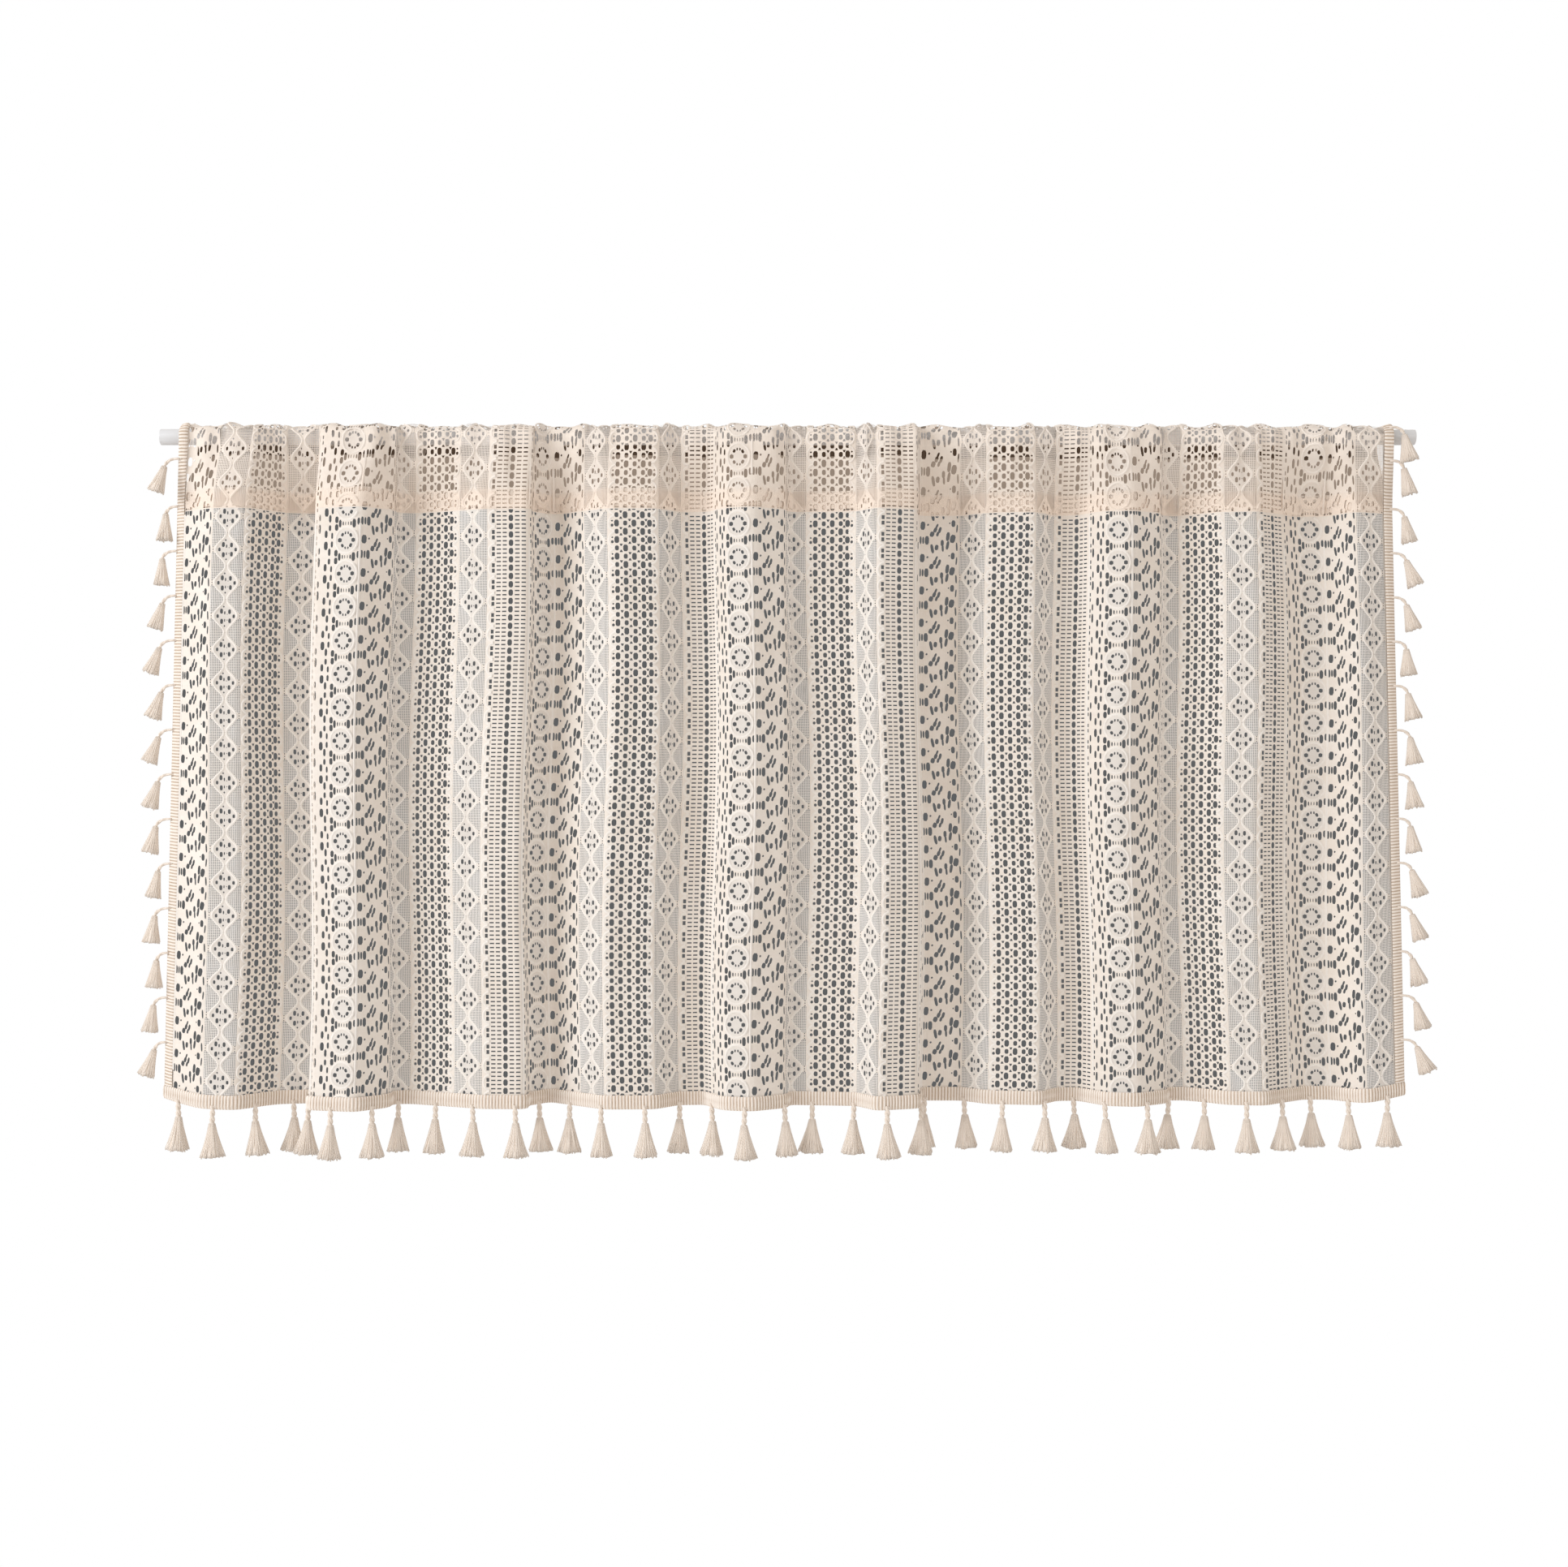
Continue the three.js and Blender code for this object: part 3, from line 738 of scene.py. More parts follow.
def net_threads(outlines):
    """Thin strips of thread across each net panel, upright and level, as flat quads."""
    points = []
    quads = []
    for outline in outlines:
        for axis, pitch, thread in ((0, NET_PITCH, NET_THREAD), (1, NET_CROSS_PITCH, NET_CROSS_THREAD)):
            values = [point[axis] for point in outline]
            count = int((max(values) - min(values)) / pitch)
            for i in range(count):
                value = min(values) + (i + 0.5) * pitch
                span = edge_span(outline, axis, value)
                if span is None or span[1] - span[0] < SHORTEST_THREAD:
                    continue
                low = span[0] - NET_OVERLAP
                high = span[1] + NET_OVERLAP
                parts = 1 if axis == 0 else max(1, int((high - low) / THREAD_PART))
                start = len(points)
                for k in range(parts + 1):
                    along = lerp(low, high, k / parts)
                    for side in (-1, 1):
                        point = (value + side * thread / 2, along)
                        points.append(point if axis == 0 else (along, value + side * thread / 2))
                for k in range(parts):
                    a = start + 2 * k
                    quad = (a, a + 1, a + 3, a + 2)
                    quads.append(quad if axis == 0 else quad[::-1])
    return np.array(points), quads


class Socket:
    """A socket of a shader that Python's operators work on."""

    def __init__(self, graph, socket):
        self.graph = graph
        self.socket = socket

    def __add__(self, other):
        return self.graph.math("ADD", self, other)

    __radd__ = __add__

    def __mul__(self, other):
        return self.graph.math("MULTIPLY", self, other)

    __rmul__ = __mul__

    def __sub__(self, other):
        return self.graph.math("SUBTRACT", self, other)

    def __rsub__(self, other):
        return self.graph.math("SUBTRACT", other, self)

    def __truediv__(self, other):
        return self.graph.math("DIVIDE", self, other)

    def __pow__(self, other):
        return self.graph.math("POWER", self, other)


class Shader:
    """The nodes of one material, with its surface shader ready."""

    def __init__(self, name):
        self.material = bpy.data.materials.new(name)
        self.material.use_nodes = True
        self.tree = self.material.node_tree
        self.surface = self.tree.nodes["Principled BSDF"]

    def node(self, kind, settings=None, output=0, **sockets):
        """Adds a node: its settings first, then the values or links of its sockets."""
        made = self.tree.nodes.new(kind)
        for key, value in (settings or {}).items():
            setattr(made, key, value)
        for key, value in sockets.items():
            self.feed(self.find(made, key), value)
        return Socket(self, made.outputs[output])

    @staticmethod
    def find(made, key):
        name = key.replace("_", " ")
        if name.startswith("input "):
            return made.inputs[int(name.split()[1])]
        return made.inputs[name]

    def feed(self, socket, value):
        if isinstance(value, Socket):
            self.tree.links.new(value.socket, socket)
        else:
            socket.default_value = value

    def math(self, operation, a, b=0.0):
        return self.node("ShaderNodeMath", {"operation": operation}, input_0=a, input_1=b)

    def mix(self, factor, first, second):
        """A colour between two colours."""
        made = self.tree.nodes.new("ShaderNodeMix")
        made.data_type = "RGBA"
        self.feed(made.inputs["Factor"], factor)
        for index, value in ((6, first), (7, second)):
            self.feed(made.inputs[index], value)
        return Socket(self, made.outputs[2])

    def noise(self, vector, scale, detail=2.0, roughness=0.5):
        return self.node("ShaderNodeTexNoise", Vector=vector, Scale=scale, Detail=detail, Roughness=roughness)

    def wave(self, value):
        """A wave from 0 to 1 of an angle."""
        return self.math("SINE", value) * 0.5 + 0.5

    def soft_step(self, value, low, high):
        """Goes softly from 0 to 1 as a value goes from low to high."""
        settings = {"interpolation_type": "SMOOTHSTEP"}
        limits = {"From_Min": low, "From_Max": high, "To_Min": 0.0, "To_Max": 1.0}
        return self.node("ShaderNodeMapRange", settings, Value=value, **limits)

    def bump(self, height, distance, strength):
        return self.node("ShaderNodeBump", Height=height, Distance=distance, Strength=strength)

    def finish(self, **sockets):
        for key, value in sockets.items():
            self.feed(self.surface.inputs[key.replace("_", " ")], value)
        return self.material


class WorldShader(Shader):
    """The nodes of the world's light."""

    def __init__(self, world):
        world.use_nodes = True
        self.tree = world.node_tree


def split(shader, vector):
    made = shader.tree.nodes.new("ShaderNodeSeparateXYZ")
    shader.feed(made.inputs[0], vector)
    return [Socket(shader, output) for output in made.outputs]


def rgba(colour, factor=1.0):
    return (colour[0] * factor, colour[1] * factor, colour[2] * factor, 1.0)


THIN_GROUND = (0.66, 0.64, 0.62)
# Painted shade: a darker peach where the lace lies doubled in the pocket, standing in for the shade between
# its layers
DOUBLED_CLOTH_SHADE = (0.89, 0.77, 0.67)


def lace_yarn(name, colour, shade):
    """Matte knitted cotton: chains of stitches, uneven yarn, warmer thin places and painted shade where the
    cloth lies doubled.
    """
    shader = Shader(name)
    flat = shader.node("ShaderNodeUVMap", {"uv_map": "cloth_flat"})
    u, v, _ = split(shader, flat)
    broad = shader.noise(flat, 28.0, 2.0)
    fine = shader.noise(flat, 420.0, 3.0, 0.6)
    chain = shader.wave(u * (2 * math.pi / 0.0011) + 0.9 * shader.math("SINE", v * (2 * math.pi / 0.0016)))
    stitch = shader.wave(v * (2 * math.pi / 0.0013) + 2.2 * shader.math("SINE", u * (2 * math.pi / 0.0022)))
    tone = 0.5 * broad + 0.35 * fine + 0.15 * chain
    shade_factor = shader.soft_step(tone, 0.3, 0.72)
    thin = shader.node("ShaderNodeAttribute", {"attribute_name": "thin_ground"}, output=2)
    base = shader.mix(shade_factor, rgba(shade), rgba(colour))
    base = shader.mix(thin * 0.5, base, rgba(THIN_GROUND))
    # Painted shade where the cloth lies doubled: the attribute mixes in the darker peach
    layered_shade = shader.node("ShaderNodeAttribute", {"attribute_name": "layered_shade"}, output=2)
    base = shader.mix(layered_shade, base, rgba(DOUBLED_CLOTH_SHADE))
    height = chain * 0.55 + stitch * 0.45 + fine * 0.6
    return shader.finish(
        Base_Color=base,
        Roughness=0.82 + 0.12 * fine,
        Normal=shader.bump(height, 0.0004, 0.55),
        Specular_IOR_Level=0.25,
        Sheen_Weight=0.12,
        Sheen_Roughness=0.5,
    )


def twisted_yarn(name, colour, shade, pitch):
    """Cut yarn of a tassel or cord: long fine fibres and a slow change of tone."""
    shader = Shader(name)
    along = shader.node("ShaderNodeUVMap", {"uv_map": "yarn"})
    u, v, _ = split(shader, along)
    ply = shader.wave((u + v * 0.5) * (2 * math.pi / pitch))
    fibre = shader.noise(along, 700.0, 3.0, 0.65)
    broad = shader.noise(along, 60.0, 1.0)
    tone = 0.4 * ply + 0.3 * fibre + 0.3 * broad
    shade_factor = shader.soft_step(tone, 0.25, 0.75)
    return shader.finish(
        Base_Color=shader.mix(shade_factor, rgba(shade), rgba(colour)),
        Roughness=0.7 + 0.2 * fibre,
        Normal=shader.bump(ply * 0.7 + fibre * 0.5, 0.0003, 0.5),
        Specular_IOR_Level=0.3,
        Sheen_Weight=0.15,
        Sheen_Roughness=0.45,
    )


def ribbed_braid(name, colour, shade, pitch):
    """Gimp braid: light ribs across it with painted shade in the darker gaps between them, and fine fibres.
    """
    shader = Shader(name)
    along = shader.node("ShaderNodeUVMap", {"uv_map": "yarn"})
    u = split(shader, along)[0]
    rib = shader.wave(u * (2 * math.pi / pitch) + math.pi / 2)
    fibre = shader.noise(along, 900.0, 3.0, 0.6)
    broad = shader.noise(along, 40.0, 1.0)
    tone = 0.62 * rib + 0.22 * fibre + 0.16 * broad
    shade_factor = shader.soft_step(tone, 0.12, 0.62)
    return shader.finish(
        Base_Color=shader.mix(shade_factor, rgba(shade), rgba(colour)),
        Roughness=0.75 + 0.15 * fibre,
        Normal=shader.bump(rib * 0.8 + fibre * 0.5, 0.0004, 0.6),
        Specular_IOR_Level=0.25,
        Sheen_Weight=0.12,
        Sheen_Roughness=0.5,
    )


def satin_paint(name, colour):
    """Smooth white paint with a faint ripple and rub marks."""
    shader = Shader(name)
    place = shader.node("ShaderNodeTexCoord", output=3)
    ripple = shader.noise(place, 90.0, 2.0)
    rub = shader.noise(place, 900.0, 2.0)
    base = shader.mix(ripple, rgba(colour, 0.95), rgba(colour))
    return shader.finish(
        Base_Color=base,
        Roughness=0.26 + 0.1 * rub,
        Normal=shader.bump(ripple, 0.0003, 0.15),
        Coat_Weight=0.25,
    )


def new_mesh(name, points, faces, uvs, material, smooth=True, normals=None):
    """Adds a mesh object in metres. uvs maps a layer's name to one pair for each point."""
    mesh = bpy.data.meshes.new(name)
    mesh.from_pydata(np.asarray(points).tolist(), [], [tuple(int(i) for i in face) for face in faces])
    if mesh.validate(verbose=False):
        raise RuntimeError(f"{name}: the mesh had faults")
    loops = np.empty(len(mesh.loops), dtype=np.int32)
    mesh.loops.foreach_get("vertex_index", loops)
    for layer, pairs in uvs.items():
        made = mesh.uv_layers.new(name=layer)
        made.data.foreach_set("uv", np.asarray(pairs, dtype=np.float32)[loops].ravel())
    mesh.polygons.foreach_set("use_smooth", [smooth] * len(mesh.polygons))
    if normals is not None:
        mesh.normals_split_custom_set_from_vertices(np.asarray(normals).tolist())
    mesh.materials.append(material)
    mesh.update()
    piece = bpy.data.objects.new(name, mesh)
    bpy.context.collection.objects.link(piece)
    return piece


def seat(piece, slot, *nodes):
    """Rides on the only body and stands for its nodes; the slot is not used."""
    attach(piece, "root")
    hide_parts(*nodes)
    return piece


def unit_uv(pairs):
    """The same layout, fitted to the square from 0 to 1."""
    pairs = np.asarray(pairs, dtype=float)
    low = pairs.min(0)
    return (pairs - low) / np.maximum(pairs.max(0) - low, 1e-9).max()


# How much of the doubled cloth's painted shade the rest of the pocket gets
HEADING_LAYER_SHADE = 0.4


def layered_shade_share(drop):
    """How much painted shade the doubled cloth gets: most where the turning lies behind it, some in the rest
    of the pocket.
    """
    from_seam = np.minimum(np.abs(drop - HANG_LENGTH), np.abs(drop - BACK_SEAM))
    share = lerp(1.0, HEADING_LAYER_SHADE, smoothstep(TURNING - 2.0, TURNING + 1.0, from_seam))
    return np.where(drop < HANG_LENGTH, 0.0, share)


def flat_piece(name, flat, faces, material, heights=None, thin=None, layered_shade=True):
    """A piece of cloth from flat points, hung in the folds."""
    normals = cloth_normals(flat[:, 0], flat[:, 1])
    points = cloth_points(flat[:, 0], flat[:, 1])
    uvs = {"cloth_flat": flat * MM, "OFBake": unit_uv(flat)}
    if heights is not None:
        points = points + normals * heights.reshape(-1, 1)
        normals = None
    piece = new_mesh(name, points * MM, faces, uvs, material, normals=normals)
    zero = np.zeros(len(flat))
    # thin_ground marks the thinner knitted ground; the other share marks where painted shade darkens the
    # doubled cloth
    shares = {
        "thin_ground": zero if thin is None else thin,
        "layered_shade": layered_shade_share(flat[:, 1]) if layered_shade else zero,
    }
    for label, values in shares.items():
        piece.data.attributes.new(label, "FLOAT", "POINT").data.foreach_set("value", values)
    return piece


def ring_faces(rows, sides):
    """Quads between rows of points that each go once round, with both ends closed."""
    faces = []
    for i in range(rows - 1):
        for k in range(sides):
            a = i * sides + k
            b = i * sides + (k + 1) % sides
            faces.append((a, b, b + sides, a + sides))
    faces.append(tuple(range(sides))[::-1])
    faces.append(tuple(range((rows - 1) * sides, rows * sides)))
    return faces


def grid_faces(rows, count):
    """Quads between rows of count points each."""
    faces = []
    for j in range(rows - 1):
        for a in range(j * count, (j + 1) * count - 1):
            faces.append((a, a + 1, a + count + 1, a + count))
    return faces


class MeshParts:
    """Gathers the points, faces and yarn layout of many small shapes for one joined mesh."""

    def __init__(self):
        self.points = []
        self.faces = []
        self.uvs = []
        self.count = 0

    def add(self, points, faces, uvs):
        self.points.append(np.asarray(points, dtype=float))
        self.uvs.append(np.asarray(uvs, dtype=float))
        self.faces += [tuple(i + self.count for i in face) for face in faces]
        self.count += len(points)

    def tube(self, path, radii, sides, start=0.0):
        """A round yarn along a path, closed at both ends."""
        path = np.asarray(path, dtype=float)
        radii = np.broadcast_to(np.asarray(radii, dtype=float), (len(path),))
        tangents = np.gradient(path, axis=0)
        tangents /= np.maximum(np.linalg.norm(tangents, axis=1, keepdims=True), 1e-9)
        side = np.cross(tangents[0], (0.3, 1.0, 0.2))
        side /= np.linalg.norm(side)
        points = []
        uvs = []
        length = 0.0
        for i, centre in enumerate(path):
            side = side - tangents[i] * side.dot(tangents[i])
            side /= max(np.linalg.norm(side), 1e-9)
            other = np.cross(tangents[i], side)
            if i:
                length += np.linalg.norm(path[i] - path[i - 1])
            for k in range(sides):
                angle = 2 * math.pi * k / sides
                points.append(centre + radii[i] * (side * math.cos(angle) + other * math.sin(angle)))
                uvs.append((start + radii[i] * angle * MM, length * MM))
        self.add(points, ring_faces(len(path), sides), uvs)

    def lathe(self, centre, axis, profile, sides):
        """A turned shape: profile gives radius and distance along the axis."""
        axis = np.asarray(axis, dtype=float)
        axis /= np.linalg.norm(axis)
        side = np.cross(axis, (0.0, 1.0, 0.1))
        side /= np.linalg.norm(side)
        other = np.cross(axis, side)
        points = []
        uvs = []
        for radius, along in profile:
            for k in range(sides):
                angle = 2 * math.pi * k / sides
                out = side * math.cos(angle) + other * math.sin(angle)
                points.append(centre + axis * along + radius * out)
                uvs.append((radius * angle * MM, along * MM))
        self.add(points, ring_faces(len(profile), sides), uvs)

    def piece(self, name, material):
        points = np.concatenate(self.points) * MM
        pairs = np.concatenate(self.uvs)
        return new_mesh(name, points, self.faces, {"yarn": pairs}, material)


Tassel = namedtuple("Tassel", "length neck foot strands")
HEM_TASSEL = Tassel(27.0, 2.4, 9.4, 30)
SIDE_TASSEL = Tassel(22.0, 2.0, 6.8, 24)
SKIRT_SIDES = 30
LOBES = 5
LOBE_DEPTH = 0.09
YARN_DEPTH = 0.05
SKIRT_STOPS = (0.0, 0.1, 0.25, 0.45, 0.65, 0.85, 1.0)


def skirt_radius(tassel, t):
    """Radius of a tassel's skirt at a share of its length."""
    return tassel.neck + (tassel.foot - tassel.neck) * (0.3 * t + 0.7 * t**1.5)


def add_tassel(parts, top, lean, rng, tassel):
    """A plump tassel whose neck starts at top and whose skirt hangs along lean."""
    axis = np.asarray(lean, dtype=float)
    axis /= np.linalg.norm(axis)
    side = np.cross(axis, (0.0, 1.0, 0.1))
    side /= np.linalg.norm(side)
    other = np.cross(axis, side)
    flare = rng.uniform(0.9, 1.08)
    lobe = rng.uniform(0, 2 * math.pi)
    turns = np.linspace(0, 2 * math.pi, SKIRT_SIDES, endpoint=False)
    out = np.outer(np.cos(turns), side) + np.outer(np.sin(turns), other)
    ragged = rng.uniform(-0.9, 0.5, SKIRT_SIDES)
    points = []
    uvs = []
    for t in SKIRT_STOPS:
        yarns = YARN_DEPTH * np.cos(np.pi * np.arange(SKIRT_SIDES))
        lobed = 1 + t * (LOBE_DEPTH * np.cos(LOBES * turns + lobe) + yarns)
        radius = skirt_radius(tassel, t) * lerp(1.0, flare, t) * lobed
        along = tassel.length * t + ragged * t**6
        points.append(top + np.outer(along, axis) + out * radius.reshape(-1, 1))
        level = np.full(SKIRT_SIDES, tassel.length * t * 0.1 * MM)
        uvs.append(np.stack([turns * tassel.foot * 0.5 * MM, level], axis=1))
    inside = top + axis * (tassel.length - 2.0) + out * tassel.foot * 0.5
    points.append(inside)
    uvs.append(uvs[-1])
    parts.add(np.concatenate(points), ring_faces(len(points), SKIRT_SIDES), np.concatenate(uvs))
    for i in range(tassel.strands):
        angle = 2 * math.pi * (i + rng.uniform(-0.3, 0.3)) / tassel.strands
        outward = side * math.cos(angle) + other * math.sin(angle)
        around = other * math.cos(angle) - side * math.sin(angle)
        length = tassel.length + rng.uniform(-1.2, 0.9)
        swell = flare * (1 + LOBE_DEPTH * math.cos(LOBES * angle + lobe))
        path = []
        for t in (0.02, 0.3, 0.65, 1.0):
            radius = skirt_radius(tassel, t) * lerp(1.0, swell, t) - 0.15
            sway = rng.uniform(-0.5, 0.5) * t
            path.append(top + axis * length * t + outward * radius + around * sway)
        parts.tube(path, (0.5, 0.75, 0.85, 0.6), 4, start=rng.uniform(0, 1))


def add_cord(parts, points, radius, strands=2):
    """A short cord of twisted yarns along a smooth path."""
    points = np.asarray(points, dtype=float)
    lengths = np.concatenate([[0], np.cumsum(np.linalg.norm(np.diff(points, axis=0), axis=1))])
    count = max(6, int(lengths[-1] / 1.2))
    at = np.linspace(0, lengths[-1], count)
    path = np.stack([np.interp(at, lengths, points[:, i]) for i in range(3)], axis=1)
    for strand in range(strands):
        turn = 2 * math.pi * (at / 11.0 + strand / strands)
        wound = path + 0.48 * radius * np.stack([np.cos(turn), np.sin(turn), np.zeros_like(turn)], axis=1)
        parts.tube(wound, radius * 0.66, 6, start=strand * 0.3)


def woven_braid(parts, edge_a, edge_b, rib_pitch, lanes):
    """A gimp braid between two long edges given as arrays of flat and drop, with raised ribs."""
    edge_a = np.asarray(edge_a, dtype=float)
    edge_b = np.asarray(edge_b, dtype=float)
    run = np.concatenate([[0], np.cumsum(np.linalg.norm(np.diff(edge_a, axis=0), axis=1))])
    inner = CLOTH_THICKNESS / 2 + PIECE_GAP
    rows = len(edge_a)
    shares = np.linspace(0, 1, lanes)
    points = []
    uvs = []
    width = np.linalg.norm(edge_b[0] - edge_a[0])
    for k, share in enumerate(shares):
        place = edge_a + (edge_b - edge_a) * share
        flat = np.clip(place[:, 0], 0, FLAT_WIDTH)
        drop = np.maximum(place[:, 1], 0)
        base = cloth_points(flat, drop)
        normal = cloth_normals(flat, drop)
        base[:, 0] += (place[:, 0] - flat)
        base[:, 2] += np.minimum(place[:, 1], 0)
        bow = 1 - abs(2 * share - 1) ** 4
        rib = 0.5 + 0.5 * np.cos(2 * math.pi * (run / rib_pitch + 0.5 * abs(share - 0.5)))
        edge = 1.0 if 0 < k < lanes - 1 else 0.0
        height = inner + edge * (0.3 + BRAID_RELIEF * bow * (0.2 + 0.8 * rib))
        points.append(base + normal * np.asarray(height).reshape(-1, 1))
        uvs.append(np.stack([run * MM, np.full(rows, share * width * MM)], axis=1))
    parts.add(np.concatenate(points), grid_faces(lanes, rows), np.concatenate(uvs))


def length_property(name, description, default):
    return bpy.props.FloatProperty(
        name=name, description=description, default=default, unit="LENGTH", subtype="DISTANCE"
    )


def colour_property(name, description, default):
    return bpy.props.FloatVectorProperty(
        name=name, description=description, default=default, subtype="COLOR", size=3
    )


class CurtainSizes(bpy.types.PropertyGroup):
    """Sizes that a user would change."""

    rod_length: length_property("Rod Length", "Length of the rod", 1.028)
    rod_diameter: length_property("Rod Diameter", "Width across the rod", 0.013)
    rib_pitch: length_property("Braid Ribs", "Distance between the ribs of the braid", 0.0026)


class CurtainColours(bpy.types.PropertyGroup):
    """Colours that a user would change."""

    lace: colour_property("Lace", "Colour of the lace yarn", (0.87, 0.815, 0.76))
    lace_shade: colour_property("Lace Shade", "Colour of the thinner yarn", (0.82, 0.745, 0.67))
    lace_cord: colour_property("Lace Cords", "Colour of the raised cords of the lace", (0.93, 0.89, 0.845))
    lace_net: colour_property("Lace Net", "Colour of the fine net threads", (0.88, 0.86, 0.845))
    trim: colour_property("Trim", "Colour of the braid and tassels", (0.88, 0.81, 0.745))
    trim_shade: colour_property("Trim Shade", "Colour between the yarns of the trim", (0.76, 0.655, 0.56))
    # Painted shade in the gaps between the braid's ribs
    braid_gap_shade: colour_property("Braid Gaps", "Colour between the ribs of the braid", (0.52, 0.4, 0.3))
    rod: colour_property("Rod", "Colour of the rod's paint", (0.74, 0.75, 0.77))


class CURTAIN_OT_rod(bpy.types.Operator):
    """Make the painted rod"""

    bl_idname = "curtain.rod"
    bl_label = "Make Rod"

    def execute(self, context):
        sizes = context.scene.curtain_sizes
        half = sizes.rod_length / 2
        radius = sizes.rod_diameter / 2
        edge = 0.0008
        profile = [(0.0004, -half), (radius - edge, -half)]
        for step in range(1, 5):
            turn = step * math.pi / 8
            profile.append((radius - edge + edge * math.sin(turn), -half + edge - edge * math.cos(turn)))
        stops = np.linspace(-half + edge, half - edge, 25)[1:-1]
        profile += [(radius, float(stop)) for stop in stops]
        profile += [(r, -x) for r, x in reversed(profile[:6])]
        parts = MeshParts()
        parts.lathe(np.zeros(3), (1.0, 0.0, 0.0), [(r / MM, x / MM) for r, x in profile], 32)
        piece = parts.piece("painted_rod", satin_paint("rod_paint", context.scene.curtain_colours.rod))
        seat(piece, "rod", "rod")
        return {"FINISHED"}


class CURTAIN_OT_lace(bpy.types.Operator):
    """Make the pierced lace: the hanging panel, the pocket round the rod and their nets"""

    bl_idname = "curtain.lace"
    bl_label = "Make Lace"

    def execute(self, context):
        colours = context.scene.curtain_colours
        yarn = lace_yarn("lace_yarn", colours.lace, colours.lace_shade)
        cord_yarn = lace_yarn("lace_cord_yarn", colours.lace_cord, colours.lace)
        net_yarn = lace_yarn("lace_net_yarn", colours.lace_net, colours.lace)
        lengths = (("lace_panel", 0.0, HANG_LENGTH), ("lace_heading", HANG_LENGTH, CUT_LENGTH))
        for name, low, high in lengths:
            flat, triangles, nets = lace_flat(low, high)
            # Only the pocket's cloth gets the painted shade of doubled cloth
            layered_shade = low > 0
            piece = flat_piece(name, flat, triangles, yarn, thin=thin_ground(flat), layered_shade=layered_shade)
            seat(piece, "lace", "lace_cloth")
            threads, quads = net_threads(nets)
            net = flat_piece(f"{name}_net", threads, quads, net_yarn, layered_shade=layered_shade)
            seat(net, "lace", "lace_cloth")
            ridges, heights, ridge_quads = raised_cords(cord_paths(low, high))
            cords = flat_piece(
                f"{name}_cords", ridges, ridge_quads, cord_yarn, heights=heights, layered_shade=layered_shade
            )
            seat(cords, "lace", "lace_cloth")
            a, b, c = (flat[triangles[:, i]] for i in range(3))
            sides = np.stack([b - a, c - a], axis=1)
            size = (FLAT_WIDTH * MM, (high - low) * MM)
        return {"FINISHED"}


class CURTAIN_OT_hem_fringe(bpy.types.Operator):
    """Make the braid and the tassels along the hem"""

    bl_idname = "curtain.hem_fringe"
    bl_label = "Make Hem Fringe"

    def execute(self, context):
        colours = context.scene.curtain_colours
        pitch = context.scene.curtain_sizes.rib_pitch / MM
        yarn = twisted_yarn("trim_yarn", colours.trim, colours.trim_shade, 0.0012)
        flats = np.arange(0.0, FLAT_WIDTH + 0.01, pitch / 6)
        upper = np.stack([flats, np.full_like(flats, HEM_BRAID_HEIGHT)], axis=1)
        lower = np.stack([flats, np.full_like(flats, -HEM_BRAID_DROP)], axis=1)
        parts = MeshParts()
        woven_braid(parts, lower, upper, pitch, 9)
        braid = ribbed_braid("hem_braid_yarn", colours.trim, colours.braid_gap_shade, pitch * MM)
        seat(parts.piece("hem_braid", braid), "trim", "hem_fringe")

        rng = np.random.default_rng(37)
        parts = MeshParts()
        offset = CLOTH_THICKNESS / 2 + PIECE_GAP + BRAID_THICKNESS / 2
        for i in range(HEM_TASSELS):
            flat = np.array([(i + 0.5) * FLAT_WIDTH / HEM_TASSELS])
            drop = np.zeros(1)
            root = (cloth_points(flat, drop) + cloth_normals(flat, drop) * offset)[0]
            root[2] -= HEM_BRAID_DROP
            head = root + np.array([rng.uniform(-1.2, 1.2), rng.uniform(-0.5, 0.5), -CORD_LENGTH])
            foot = head + np.array([0, 0, -HEM_TASSEL.neck])
            add_cord(parts, [root + np.array([0, 0, 3.0]), lerp(root, head, 0.5), foot], HEM_CORD_RADIUS)
            lean = (rng.uniform(-0.06, 0.06), rng.uniform(-0.03, 0.03), -1.0)
            add_tassel(parts, head, lean, rng, HEM_TASSEL)
        seat(parts.piece("hem_tassels", yarn), "trim", "hem_fringe")
        return {"FINISHED"}


